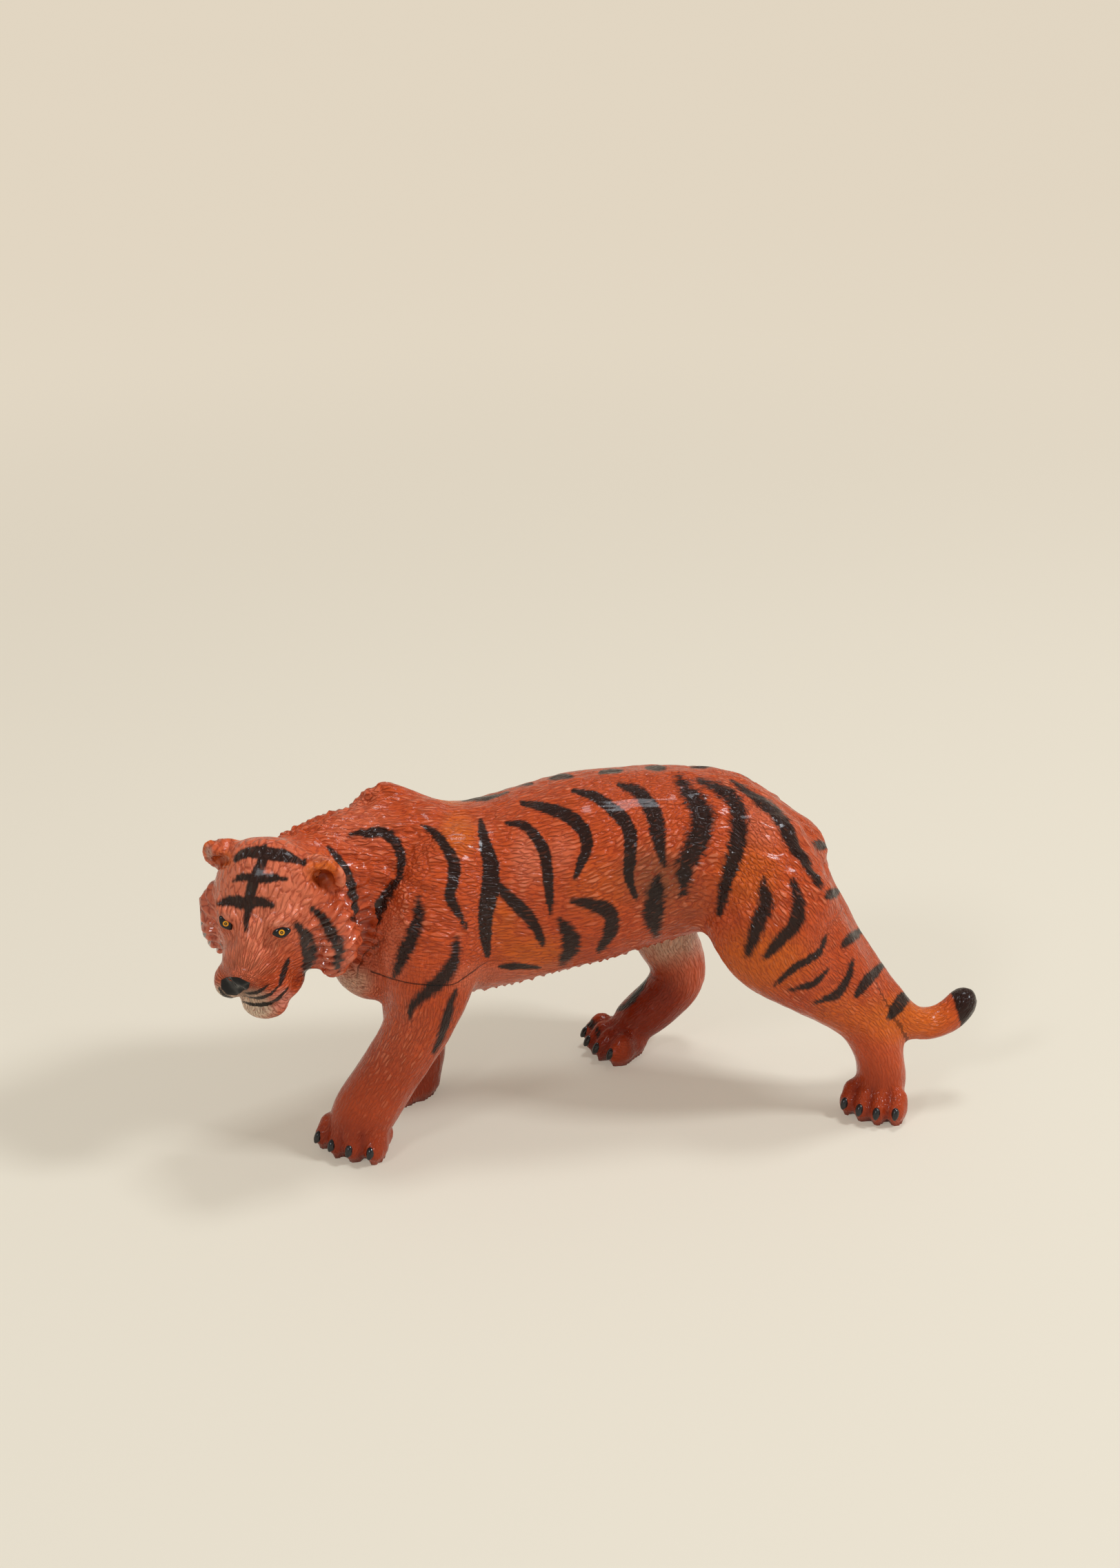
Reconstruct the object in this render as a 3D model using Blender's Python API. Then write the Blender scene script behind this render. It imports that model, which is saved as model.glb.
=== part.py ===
"""A walking toy tiger, moulded in one piece, with its head turned to its left.

The tiger faces -X, its left side is -Y and it stands on Z = 0. The origin is
on the ground under the middle of its box. Sizes below are in millimetres.
"""

import math

import bmesh
import bpy
import numpy as np
from mathutils import Matrix, Vector

MM = 0.001

# Mesh
FORM_VOXEL = 1.9
FORM_SMOOTHING = 14
DETAIL_VOXEL = 1.15
DETAIL_SMOOTHING = 3
TRIANGLES = 11600
ORANGE = (0.56, 0.10, 0.03, 1.0)

# The finished figure
TOY_LENGTH = 270.7
TOY_HEIGHT = 126.0

# Trunk
BODY_WIDTH = 59.0
RIDGE_RADIUS = 4.0
BELLY_TUFT = 3.4

# Paws
PAW_WIDTH = 25.0
PAW_LENGTH = 24.0
PAW_HEIGHT = 15.0
TOE_WIDTH = 7.6
CLAW_LENGTH = 4.4
CLAW_WIDTH = 2.8
SOLE_DEPTH = 1.2

# Grooves
SEAM_RADIUS = 1.6
SEAM_DEPTH = 0.5
LIP_RADIUS = 2.6
LIP_DEPTH = 2.2

# Head
HEAD_PLACE = (-113.8, -21.5, 94.2)
HEAD_TURN = math.radians(30.0)
HEAD_NOD = math.radians(13.0)
CHEEK_WIDTH = 52.6
CHEEK_RADII = (10.5, 9.5, 14.5)
EAR_HEIGHT = 11.6
EAR_WIDTH = 13.4
EYE_SPACING = 20.4
EYE_RADIUS = 3.4
NOSE_WIDTH = 10.4

# Tail
TAIL_RADIUS = 6.6

# Trunk outline: X, top, bottom and share of the widest section
TRUNK = [
    (-92, 109, 70, 0.42),
    (-82, 113, 59, 0.66),
    (-68, 116, 53, 0.83),
    (-54, 116.5, 51, 0.93),
    (-38, 117.2, 53, 0.98),
    (-20, 121.4, 57, 1.0),
    (-4, 125, 60, 1.0),
    (12, 125.5, 64, 0.96),
    (28, 125, 67, 0.91),
    (44, 121.5, 69, 0.88),
    (56, 115, 72, 0.80),
    (66, 106, 77, 0.60),
]

# Each limb's centre line: X, Y, Z, half its depth fore and aft, half its breadth
LIMBS = {
    "fore_left": [
        (-52, -18, 108, 12, 7),
        (-56, -22, 96, 18, 10),
        (-60, -24, 82, 19, 12),
        (-62, -25, 69, 16.5, 12.5),
        (-64, -25, 56, 13, 12),
        (-70, -24, 42, 11.4, 11),
        (-78, -22.5, 28, 11, 10.5),
        (-85.5, -21.5, 15, 11.4, 11),
        (-89, -21.5, 8, 10, 10.5),
    ],
    "fore_right": [
        (-71, 13, 116, 9, 6),
        (-68, 16, 104, 16, 9),
        (-65, 19, 88, 17, 12),
        (-63, 19, 70, 15, 12),
        (-62, 18, 54, 13, 11),
        (-64, 16.5, 40, 12, 10.5),
        (-64, 16, 26, 11, 10.5),
        (-64, 16, 14, 11.5, 11),
        (-64, 16, 8, 10, 10.5),
    ],
    "hind_left": [
        (54, -12, 105, 15, 9),
        (53, -19, 95, 20, 12),
        (55, -23, 82, 23, 14),
        (58, -25, 70, 20, 14),
        (66, -26, 59, 14.8, 13),
        (76.5, -25, 48, 10.2, 11.5),
        (87, -24, 38.5, 8.8, 10),
        (94.2, -24, 28, 8.8, 9.2),
        (97.3, -24, 18, 8.8, 9.2),
        (98, -24, 9, 8.8, 9.4),
    ],
    "hind_right": [
        (50, 11, 104, 15, 9),
        (47, 17, 94, 20, 12),
        (41, 24, 82, 21, 13.5),
        (34, 29, 70, 18, 12.5),
        (30, 32, 57, 14.5, 11),
        (30.5, 33, 46, 12.2, 9.8),
        (35.5, 33.5, 35, 10.6, 9.2),
        (35.5, 33.4, 26, 10.2, 9),
        (28.5, 33.2, 18, 9.8, 8.8),
        (19.5, 32.6, 11, 8.8, 8.8),
    ],
}
NECK = [
    (-62, 1, 89, 32, 24),
    (-78, 0, 91, 29.5, 22),
    (-92, -4, 93, 26.5, 19.5),
    (-104, -10, 94, 22.5, 18),
    (-111, -14, 94, 18, 17),
]

# Skull outline: distance ahead of the head's middle, top, bottom, half its breadth
SKULL = [
    (-19, 13, -11, 16),
    (-11, 23.5, -18, 20.5),
    (-3, 25.5, -21, 21.5),
    (4, 21.5, -22.5, 19),
    (9, 15, -23, 16.0),
    (12.5, 9, -23.5, 13.0),
    (15.5, 3, -23.5, 11.8),
]

# Centre line of the tail: X, Y, Z and share of its radius
TAIL = [
    (64, -1, 103, 1.1),
    (70, -3, 96, 1.1),
    (74, -7, 84, 1.08),
    (79.8, -11, 73, 1.05),
    (86, -15, 61.5, 1.03),
    (94, -19, 49.5, 1.0),
    (101, -21, 40, 0.98),
    (107, -21, 33.5, 0.96),
    (114, -20, 30.3, 0.93),
    (121, -19, 31, 0.93),
    (126, -18, 34, 0.95),
    (128.5, -17, 36.5, 0.92),
]

# The flesh between the left thigh and the tail: X, Y, Z, half its depth and half its breadth
TAIL_ROOT = [
    (62, -14, 94, 12, 9),
    (67, -18, 82, 12, 11),
    (73, -21, 70, 11.5, 11.5),
    (81, -22.5, 58, 10, 11),
    (89, -23, 47, 8.5, 9.5),
    (96, -22.5, 39, 7, 8),
]

# The fine joint line across the top of the left foreleg: X, Y, Z
SEAM = [
    (-81.9, -21.5, 69.1),
    (-73.6, -33.1, 71.1),
    (-64.3, -36.7, 70.7),
    (-55.2, -35.8, 69.4),
    (-47.7, -31.6, 71.5),
    (-39.8, -27.2, 72.9),
]

# Each paw's ankle on the ground, the heading of its toes from -X toward -Y, and its share of the width
PAWS = {
    "fore_left": ((-86.8, -19.2), math.radians(51), 1.08),
    "fore_right": ((-66, 15), math.radians(4), 1.05),
    "hind_left": ((97.0, -24.6), math.radians(57), 0.92),
    "hind_right": ((14.8, 31.5), math.radians(20), 0.92),
}


def smooth_rows(rows, step):
    """Rows of numbers about step apart along a Catmull-Rom curve through the given rows."""
    rows = np.array(rows, float)
    ends = np.vstack([2 * rows[0] - rows[1], rows, 2 * rows[-1] - rows[-2]])
    found = []
    for before, start, end, after in zip(ends, ends[1:], ends[2:], ends[3:]):
        count = max(1, round(float(np.linalg.norm((end - start)[:3])) / step))
        for t in np.arange(count) / count:
            found.append(
                start
                + 0.5 * t * (end - before)
                + 0.5 * t**2 * (2 * before - 5 * start + 4 * end - after)
                + 0.5 * t**3 * (3 * start - 3 * end + after - before)
            )
    return [*found, rows[-1]]


def add_loft(bm, rows, reference=(0, 1, 0), step=3.0, sides=28, fullness=1.0, facing=None):
    """A closed, domed body along rows of X, Y, Z, half depth and half breadth.

    A fullness under 1 makes the sections squarer than an ellipse. The sections
    stand square to the path, or to the facing direction where one is given.
    """
    path = smooth_rows(rows, step)
    reference = Vector(reference)
    sections = []
    for number, row in enumerate(path):
        chord = path[min(number + 1, len(path) - 1)][:3] - path[max(number - 1, 0)][:3]
        ahead = Vector(facing or chord).normalized()
        side = (reference - ahead * reference.dot(ahead)).normalized()
        sections.append((Vector(row[:3]), ahead, ahead.cross(side), side, row[3], row[4]))
    first, last = sections[0], sections[-1]
    stacked = [domed(first, -1, turn) for turn in (82, 60, 30)]
    stacked += sections
    stacked += [domed(last, 1, turn) for turn in (30, 60, 82)]
    turns = [2 * math.pi * number / sides for number in range(sides)]
    outline = [(full(math.cos(turn), fullness), full(math.sin(turn), fullness)) for turn in turns]
    rings = []
    for centre, _, up, side, depth, breadth in stacked:
        rings.append([bm.verts.new(centre + up * depth * a + side * breadth * b) for a, b in outline])
    for lower, upper in zip(rings, rings[1:]):
        for one, two, three, four in zip(lower, lower[1:] + lower[:1], upper[1:] + upper[:1], upper):
            bm.faces.new((one, two, three, four))
    bm.faces.new(list(reversed(rings[0])))
    bm.faces.new(rings[-1])


def full(value, power):
    """The value raised to a power, with its sign kept."""
    return math.copysign(abs(value) ** power, value)


def domed(section, way, turn):
    """The end section carried on along a dome, up to turn degrees toward its pole."""
    centre, ahead, up, side, depth, breadth = section
    turn = math.radians(turn)
    reach = min(depth, breadth) * math.sin(turn)
    return centre + ahead * way * reach, ahead, up, side, depth * math.cos(turn), breadth * math.cos(turn)


def unit_ball():
    """The mesh of a ball of radius 1, made once."""
    ball = bpy.data.meshes.get("unit_ball")
    if ball is None:
        bm = bmesh.new()
        bmesh.ops.create_icosphere(bm, subdivisions=3, radius=1)
        ball = bpy.data.meshes.new("unit_ball")
        bm.to_mesh(ball)
        bm.free()
    return ball


def add_blob(bm, centre, radii, turn=Matrix.Identity(3)):
    """An ellipsoid with its own axes turned by the matrix."""
    place = Matrix.Translation(Vector(centre)) @ turn.to_4x4() @ Matrix.Diagonal(Vector(radii)).to_4x4()
    start = len(bm.verts)
    bm.from_mesh(unit_ball())
    bm.verts.ensure_lookup_table()
    bmesh.ops.transform(bm, matrix=place, verts=bm.verts[start:])


def head_frame():
    """The matrix from the head's own axes (left, forward, up) to the tiger's."""
    forward = Vector((-math.sin(HEAD_TURN), -math.cos(HEAD_TURN), 0))
    left = Vector((math.cos(HEAD_TURN), -math.sin(HEAD_TURN), 0))
    up = Vector((0, 0, 1))
    nodded = forward * math.cos(HEAD_NOD) - up * math.sin(HEAD_NOD)
    risen = up * math.cos(HEAD_NOD) + forward * math.sin(HEAD_NOD)
    turn = Matrix((left, nodded, risen)).transposed()
    return Matrix.Translation(Vector(HEAD_PLACE)) @ turn.to_4x4()


def add_head_blob(bm, centre, radii, tilt=0.0, swing=0.0, roll=0.0):
    """An ellipsoid in the head's axes, pitched by tilt, yawed by swing and rolled, in degrees."""
    frame = head_frame()
    own = (
        Matrix.Rotation(math.radians(swing), 3, "Z")
        @ Matrix.Rotation(math.radians(tilt), 3, "X")
        @ Matrix.Rotation(math.radians(roll), 3, "Y")
    )
    add_blob(bm, frame @ Vector(centre), radii, frame.to_3x3() @ own)


def add_trunk(bm):
    """The trunk as one loft, with a low ridge along the spine."""
    rows = [
        (x, 0, (top + bottom) / 2, (top - bottom) / 2, share * BODY_WIDTH / 2) for x, top, bottom, share in TRUNK
    ]
    add_loft(bm, rows, step=4.0, sides=40, fullness=0.86)
    ridge = [(x, 0, top - RIDGE_RADIUS + 1.2, RIDGE_RADIUS, RIDGE_RADIUS) for x, top, _, _ in TRUNK[3:]]
    add_loft(bm, ridge)


def add_limbs(bm):
    """The four legs, the neck and the tail that runs down the left hind leg."""
    for rows in LIMBS.values():
        add_loft(bm, rows, sides=32)
    add_loft(bm, NECK, sides=36)
    add_loft(bm, TAIL_ROOT, sides=24)
    add_loft(bm, [(x, y, z, share * TAIL_RADIUS, share * TAIL_RADIUS) for x, y, z, share in TAIL], sides=20)


def add_muscles(bm):
    """Shoulder blades, haunches and the front of the chest."""
    add_blob(bm, (-72, 9, 113), (12, 7, 12))
    add_blob(bm, (-50, -14, 106), (13, 7, 12))
    add_blob(bm, (-62, -18, 84), (20, 13, 22))
    add_blob(bm, (-64, 16, 84), (20, 13, 22))
    add_blob(bm, (-80, -6, 66), (14, 17, 14))
    add_blob(bm, (50, -13, 93), (23, 15, 24))
    add_blob(bm, (46, 12, 90), (23, 15, 25))


def add_skull(bm):
    """The skull and muzzle as one loft, with the large masses of the cheeks."""
    frame = head_frame()
    rows = [
        (*(frame @ Vector((0, ahead, (top + bottom) / 2))), (top - bottom) / 2, breadth)
        for ahead, top, bottom, breadth in SKULL
    ]
    add_loft(bm, rows, reference=frame.col[0].xyz, step=2.0, sides=36, fullness=0.94, facing=frame.col[1].xyz)
    for side in (-1, 1):
        add_head_blob(bm, cheek_middle(side), CHEEK_RADII)
        add_head_blob(bm, (side * 11, 5, -9), (7, 7, 9))


def cheek_middle(side):
    """The middle of the round mass under the ruff."""
    return side * (CHEEK_WIDTH / 2 - CHEEK_RADII[0]), -3, -8


def add_face(bm):
    """The lips, brows, eyes, nose, chin and ears."""
    for side in (-1, 1):
        eye = side * EYE_SPACING / 2
        add_head_blob(bm, (side * 6.0, 18.9, -14.0), (7.4, 6.8, 6.2), swing=-side * 12)
        add_head_blob(bm, (side * 6.2, 10.5, -19.8), (6.6, 9.5, 5.2))
        add_head_blob(bm, (eye - side * 0.4, 10.2, 7.6), (6.6, 3.8, 2.2), swing=-side * 25, roll=-side * 10)
        add_head_blob(bm, (eye, 12.8, 2.8), (EYE_RADIUS, EYE_RADIUS, EYE_RADIUS))
        add_head_blob(bm, (eye + side * 0.4, 11.6, -1.6), (5.4, 3.0, 1.8), swing=-side * 25)
        add_ear(bm, side)
        add_ruff(bm, side)
    add_head_blob(bm, (0, 14.0, 3.2), (5.4, 12, 4.0), tilt=-40)
    add_head_blob(bm, (0, 13.0, -7.5), (12.4, 11.5, 8.6), tilt=-24)
    add_head_blob(bm, (0, 25.2, -7.6), (NOSE_WIDTH / 2, 3.4, 3.6), tilt=-20)
    add_head_blob(bm, (1.4, 16.8, -24.6), (8.2, 6.6, 5.4))


def add_ear(bm, side):
    """A cupped ear: a leaning shell with a thick rim."""
    frame = head_frame()
    lean = Matrix.Rotation(math.radians(side * 42), 3, "Y") @ Matrix.Rotation(math.radians(-side * 25), 3, "Z")
    root = Vector((side * 12.6, -6, 9.0))
    count = 11
    for number in range(count):
        turn = math.pi * number / (count - 1)
        rim = Vector((EAR_WIDTH / 2 * math.cos(turn), 1.2 * math.sin(turn), 1 + EAR_HEIGHT * math.sin(turn)))
        add_blob(bm, frame @ (root + lean @ rim), (2.1, 2.3, 2.1))
    back = root + lean @ Vector((0, -3.0, 4.5))
    add_blob(bm, frame @ back, (EAR_WIDTH * 0.5, 2.2, EAR_HEIGHT * 0.84), frame.to_3x3() @ lean)


def add_ruff(bm, side):
    """Rows of tufts that fan back over the round of the cheek."""
    middle = Vector(cheek_middle(side))
    for around in (48, 74, 100):
        turn = math.radians(around)
        for number in range(8):
            height = 0.82 - 0.24 * number
            reach = math.sqrt(1 - height**2)
            out = Vector((side * math.sin(turn) * reach, math.cos(turn) * reach, height))
            tuft = middle + Vector([size * share for size, share in zip(CHEEK_RADII, out)])
            add_head_blob(bm, tuft, (1.9, 4.6, 1.5), tilt=-6, swing=side * (90 - around))


def add_paw(bm, ankle, heading, share):
    """A broad paw with four knuckled toes, a heel and hooked claws, on the ground."""
    ahead = Vector((-math.cos(heading), -math.sin(heading), 0))
    across = Vector((-math.sin(heading), math.cos(heading), 0))
    turn = Matrix((ahead, across, Vector((0, 0, 1)))).transposed()
    foot = Vector((*ankle, 0))
    width = PAW_WIDTH * share
    pad = (0.44 * PAW_LENGTH * share, 0.42 * width, 7.5)
    add_blob(bm, foot + Vector((0, 0, 5.2)), pad, turn)
    for number in range(4):
        place = number - 1.5
        reach = 0.31 * PAW_LENGTH - 1.1 * place**2
        toe = foot + ahead * reach + across * place * width * 0.24
        spread = turn @ Matrix.Rotation(math.radians(7 * place), 3, "Z")
        add_blob(bm, toe + Vector((0, 0, 5.0)), (6.6, TOE_WIDTH / 2, 0.36 * PAW_HEIGHT), spread)
        add_blob(bm, toe + spread @ Vector((-0.6, 0, 7.2)), (4.6, TOE_WIDTH / 2, 0.36 * PAW_HEIGHT), spread)
        tip = toe + spread @ Vector((5.8, 0, 5.4))
        add_blob(bm, tip, (CLAW_LENGTH / 2, CLAW_WIDTH / 2, CLAW_WIDTH * 0.62), spread)


def add_belly_fringe(bm):
    """Small tufts along the middle of the belly."""
    count = 15
    for number in range(count):
        x = -50 + 74 * number / (count - 1)
        bottom = float(np.interp(x, [row[0] for row in TRUNK], [row[2] for row in TRUNK]))
        back = Matrix.Rotation(math.radians(-32), 3, "Y")
        add_blob(bm, (x, -3, bottom + 0.8), (BELLY_TUFT, 3.2, 1.9), back)


def new_object(name, bm):
    """An object with a mesh made from the bmesh, in metres."""
    mesh = bpy.data.meshes.new(name)
    bm.to_mesh(mesh)
    bm.free()
    mesh.transform(Matrix.Scale(MM, 4))
    obj = bpy.data.objects.new(name, mesh)
    bpy.context.scene.collection.objects.link(obj)
    return obj


def apply_modifiers(obj):
    """The object's mesh replaced by what its modifiers make of it."""
    graph = bpy.context.evaluated_depsgraph_get()
    mesh = bpy.data.meshes.new_from_object(obj.evaluated_get(graph))
    obj.modifiers.clear()
    obj.data = mesh


def fuse(obj, voxel, smoothing):
    """One skin around all of the object's bodies, then softened."""
    remesh = obj.modifiers.new("skin", "REMESH")
    remesh.mode = "VOXEL"
    remesh.voxel_size = voxel * MM
    soften = obj.modifiers.new("soften", "SMOOTH")
    soften.factor = 0.5
    soften.iterations = smoothing
    apply_modifiers(obj)
    keep_largest_body(obj.data)


def keep_largest_body(mesh):
    """Removes inner shells, which the fused bodies can leave between them."""
    bm = bmesh.new()
    bm.from_mesh(mesh)
    bodies = []
    left = set(bm.verts)
    while left:
        body = {left.pop()}
        edge = list(body)
        while edge:
            vert = edge.pop()
            for link in vert.link_edges:
                other = link.other_vert(vert)
                if other not in body:
                    body.add(other)
                    edge.append(other)
        left -= body
        bodies.append(body)
    bodies.sort(key=len)
    for body in bodies[:-1]:
        bmesh.ops.delete(bm, geom=list(body), context="VERTS")
    bm.to_mesh(mesh)
    bm.free()


def flatten_soles(mesh):
    """Sets the lowest part of each paw on the ground plane."""
    for vert in mesh.vertices:
        if vert.co.z < SOLE_DEPTH * MM:
            vert.co.z = 0.0


def press(mesh, points, radius, depth):
    """Pushes the skin inward by up to the depth, near a line through points, in metres."""
    line = [Vector(point) for point in smooth_rows(points, radius * 0.4)]
    moves = {}
    for vert in mesh.vertices:
        gap = min((vert.co - point).length for point in (line[0], line[len(line) // 2], line[-1]))
        if gap > radius + (line[-1] - line[0]).length:
            continue
        gap = min((vert.co - point).length for point in line)
        if gap < radius:
            moves[vert.index] = vert.normal * depth * math.cos(math.pi / 2 * gap / radius) ** 2
    for index, move in moves.items():
        mesh.vertices[index].co -= move


def carve_mouth(mesh):
    """The line between the lips, from the nose round to the corners of the mouth."""
    frame = head_frame()
    for side in (-1, 1):
        lips = [(0, 24, -17.5), (side * 4, 23.5, -19), (side * 8, 20.5, -19.8), (side * 11.5, 14.5, -18.5)]
        press(mesh, [tuple((frame @ Vector(point)) * MM) for point in lips], LIP_RADIUS * MM, LIP_DEPTH * MM)


def carve_seam(mesh):
    """The shallow line where the leg's mould half meets the body's."""
    press(mesh, [tuple(Vector(point) * MM) for point in SEAM], SEAM_RADIUS * MM, SEAM_DEPTH * MM)


def fit_box(mesh):
    """Sets the figure to its stated length and height, with the origin under the middle of its box."""
    places = [vert.co for vert in mesh.vertices]
    low = Vector([min(place[axis] for place in places) for axis in range(3)])
    high = Vector([max(place[axis] for place in places) for axis in range(3)])
    length = TOY_LENGTH * MM / (high.x - low.x)
    height = TOY_HEIGHT * MM / high.z
    middle = Vector(((low.x + high.x) / 2, (low.y + high.y) / 2, 0))
    mesh.transform(Matrix.Diagonal((length, 1, height, 1)) @ Matrix.Translation(-middle))


def skin_material():
    """Painted soft vinyl."""
    material = bpy.data.materials.new("painted_vinyl")
    material.use_nodes = True
    surface = material.node_tree.nodes["Principled BSDF"]
    surface.inputs["Base Color"].default_value = ORANGE
    surface.inputs["Roughness"].default_value = 0.42
    surface.inputs["Metallic"].default_value = 0.0
    return material


def build_tiger():
    """The whole figure as one closed body."""
    bm = bmesh.new()
    add_trunk(bm)
    add_limbs(bm)
    add_muscles(bm)
    add_skull(bm)
    tiger = new_object("tiger_figure", bm)
    fuse(tiger, FORM_VOXEL, FORM_SMOOTHING)

    bm = bmesh.new()
    bm.from_mesh(tiger.data)
    bmesh.ops.scale(bm, vec=(1 / MM, 1 / MM, 1 / MM), verts=bm.verts)
    add_face(bm)
    add_belly_fringe(bm)
    for ankle, heading, share in PAWS.values():
        add_paw(bm, ankle, heading, share)
    bpy.data.objects.remove(tiger)
    tiger = new_object("tiger_figure", bm)
    fuse(tiger, DETAIL_VOXEL, DETAIL_SMOOTHING)
    carve_mouth(tiger.data)
    carve_seam(tiger.data)
    flatten_soles(tiger.data)

    thin = tiger.modifiers.new("thin", "DECIMATE")
    thin.ratio = min(1.0, TRIANGLES / (2 * len(tiger.data.polygons)))
    thin.use_collapse_triangulate = True
    apply_modifiers(tiger)
    flatten_soles(tiger.data)
    fit_box(tiger.data)
    tiger.data.shade_smooth()
    tiger.data.materials.append(skin_material())
    return tiger


def main():
    for obj in list(bpy.data.objects):
        bpy.data.objects.remove(obj)
    build_tiger()


main()
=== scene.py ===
"""Looks for a moulded toy tiger: carved fur, sprayed stripes, eyes and claws, on a pale stage.

The file is laid out as a Blender add-on and is run as a script. Lengths are in
millimetres in the tiger's own sculpting axes: it faces -X, its left side is -Y and it
stands on Z = 0. Places named in pixels are marks on the reference picture, whose frame
is 1624 by 2274, seen through the camera that the stage sets up.
"""

import math

import bmesh
import bpy
import numpy as np
from bpy.props import FloatProperty, FloatVectorProperty, IntProperty, PointerProperty
from mathutils import Matrix, Vector, noise
from mathutils.bvhtree import BVHTree


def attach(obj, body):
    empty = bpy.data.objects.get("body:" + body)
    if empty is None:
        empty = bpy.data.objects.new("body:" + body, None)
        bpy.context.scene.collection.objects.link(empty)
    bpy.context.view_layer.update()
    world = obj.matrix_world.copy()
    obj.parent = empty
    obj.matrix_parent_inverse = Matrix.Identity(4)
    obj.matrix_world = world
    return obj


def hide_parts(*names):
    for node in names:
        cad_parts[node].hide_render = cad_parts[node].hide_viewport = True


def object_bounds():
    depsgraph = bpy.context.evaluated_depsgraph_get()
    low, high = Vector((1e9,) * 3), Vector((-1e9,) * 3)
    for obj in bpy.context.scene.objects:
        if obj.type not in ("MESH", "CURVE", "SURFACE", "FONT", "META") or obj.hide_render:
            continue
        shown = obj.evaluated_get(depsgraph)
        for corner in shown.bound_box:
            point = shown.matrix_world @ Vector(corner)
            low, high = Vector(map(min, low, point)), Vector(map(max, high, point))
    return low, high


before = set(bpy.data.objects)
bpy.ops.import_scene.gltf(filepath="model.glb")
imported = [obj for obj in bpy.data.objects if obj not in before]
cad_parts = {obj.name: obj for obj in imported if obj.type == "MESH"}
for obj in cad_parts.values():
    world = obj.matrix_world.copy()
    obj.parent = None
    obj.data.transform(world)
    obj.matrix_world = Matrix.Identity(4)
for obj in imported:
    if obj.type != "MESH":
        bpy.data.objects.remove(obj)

bl_info = {
    "name": "Moulded Toy Tiger",
    "version": (1, 0, 0),
    "blender": (4, 5, 0),
    "location": "View3D > Sidebar > Tiger",
    "description": "Builds the painted skin, eyes, claws and stage of a moulded toy tiger",
    "category": "Add Mesh",
}

MM = 0.001
CAD_NODE = "tiger_figure"
CAD_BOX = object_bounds()

# From the sculpting axes to the frame, whose origin is under the middle of the box
TO_FRAME = np.array((1.83, 1.17, 0.0))

# Camera
PICTURE = (1624, 2274)
LENS = 60.0
SENSOR = 36.0
PIXEL_SCALE = LENS / SENSOR * PICTURE[1]
CAMERA_PLACE = np.array((-145.27, -798.88, 484.82))
CAMERA_HEADING = math.radians(9.351)
CAMERA_TILT = math.radians(-24.032)

# Pixels of the picture in a millimetre at the tiger
PIXELS_PER_MM = 4.15

# Lamps: place in metres, width in metres and power in watts
LAMPS = {
    "right_lamp": ((1.7, -0.75, 2.0), 0.45, 36.0),
    "top_lamp": ((0.45, 0.25, 2.35), 0.5, 16.0),
    "left_lamp": ((-1.6, -1.5, 1.7), 0.45, 12.0),
}
LAMP_AIM = (0, 0, 0.06)
LAMP_COLOUR = (0.93, 1.0, 1.07)
SKY_COLOUR = (1.0, 0.91, 0.80, 1.0)
SKY_STRENGTH = 0.40

# The wall around the floor, in metres
WALL_BEND = 1.5
WALL_HEIGHT = 6.0

# Grid and rounding of the body before its small forms are added, and rounding of the skin
FORM_GRID = 1.9
FORM_ROUNDS = 14
SKIN_ROUNDS = 4

# Trunk
BODY_WIDTH = 59.0
RIDGE_RADIUS = 4.0
BELLY_TUFT = 3.4

# Heights of the carved fur and depth of the joint line
CLUMP_HEIGHT = 2.4
LOCK_HEIGHT = 0.95
TOOTH_HEIGHT = 1.05
TUFT_HEIGHT = 0.42
JOINT_DEPTH = 0.45

# Paws
PAW_WIDTH = 25.0
PAW_LENGTH = 24.0
PAW_HEIGHT = 15.0
TOE_WIDTH = 7.6
CLEFT_DEPTH = 0.5
CLAW_LENGTH = 4.4
CLAW_WIDTH = 2.8
SOLE_DEPTH = 1.2

# Between one toe and the next, as a share of the paw's width
TOE_PITCH = 0.24

# A claw's middle from its toe's, in the toe's axes
CLAW_SEAT = (5.3, 0, 5.9)

# Head
HEAD_PLACE = (-113.8, -21.5, 94.2)
HEAD_TURN = math.radians(30.0)
HEAD_NOD = math.radians(13.0)
CHEEK_WIDTH = 52.6
CHEEK_RADII = (10.5, 9.5, 14.5)
EAR_HEIGHT = 11.6
EAR_WIDTH = 13.4
EYE_SPACING = 20.4
EYE_RADIUS = 3.4
NOSE_WIDTH = 10.4
HEAD_MIDDLE = (0, 2, -1)
HEAD_REACH = 37.0
LIP_DEPTH = 1.5
EAR_RIM_HEIGHT = 1.5

# Half breadth, depth and half height of an eye's dome, and how far it is sunk
EYE_DOME = (3.1, 1.0, 1.95)
EYE_SINK = 0.45

# Tail
TAIL_RADIUS = 6.6

# Trunk outline: X, top, bottom and share of the widest section
TRUNK = [
    (-92, 109, 70, 0.42), (-82, 113, 59, 0.66), (-68, 116, 53, 0.83), (-54, 116.5, 51, 0.93),
    (-38, 117.2, 53, 0.98), (-20, 121.4, 57, 1.0), (-4, 125, 60, 1.0), (12, 125.5, 64, 0.96),
    (28, 125, 67, 0.91), (44, 121.5, 69, 0.88), (56, 115, 72, 0.80), (66, 106, 77, 0.60),
]

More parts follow.
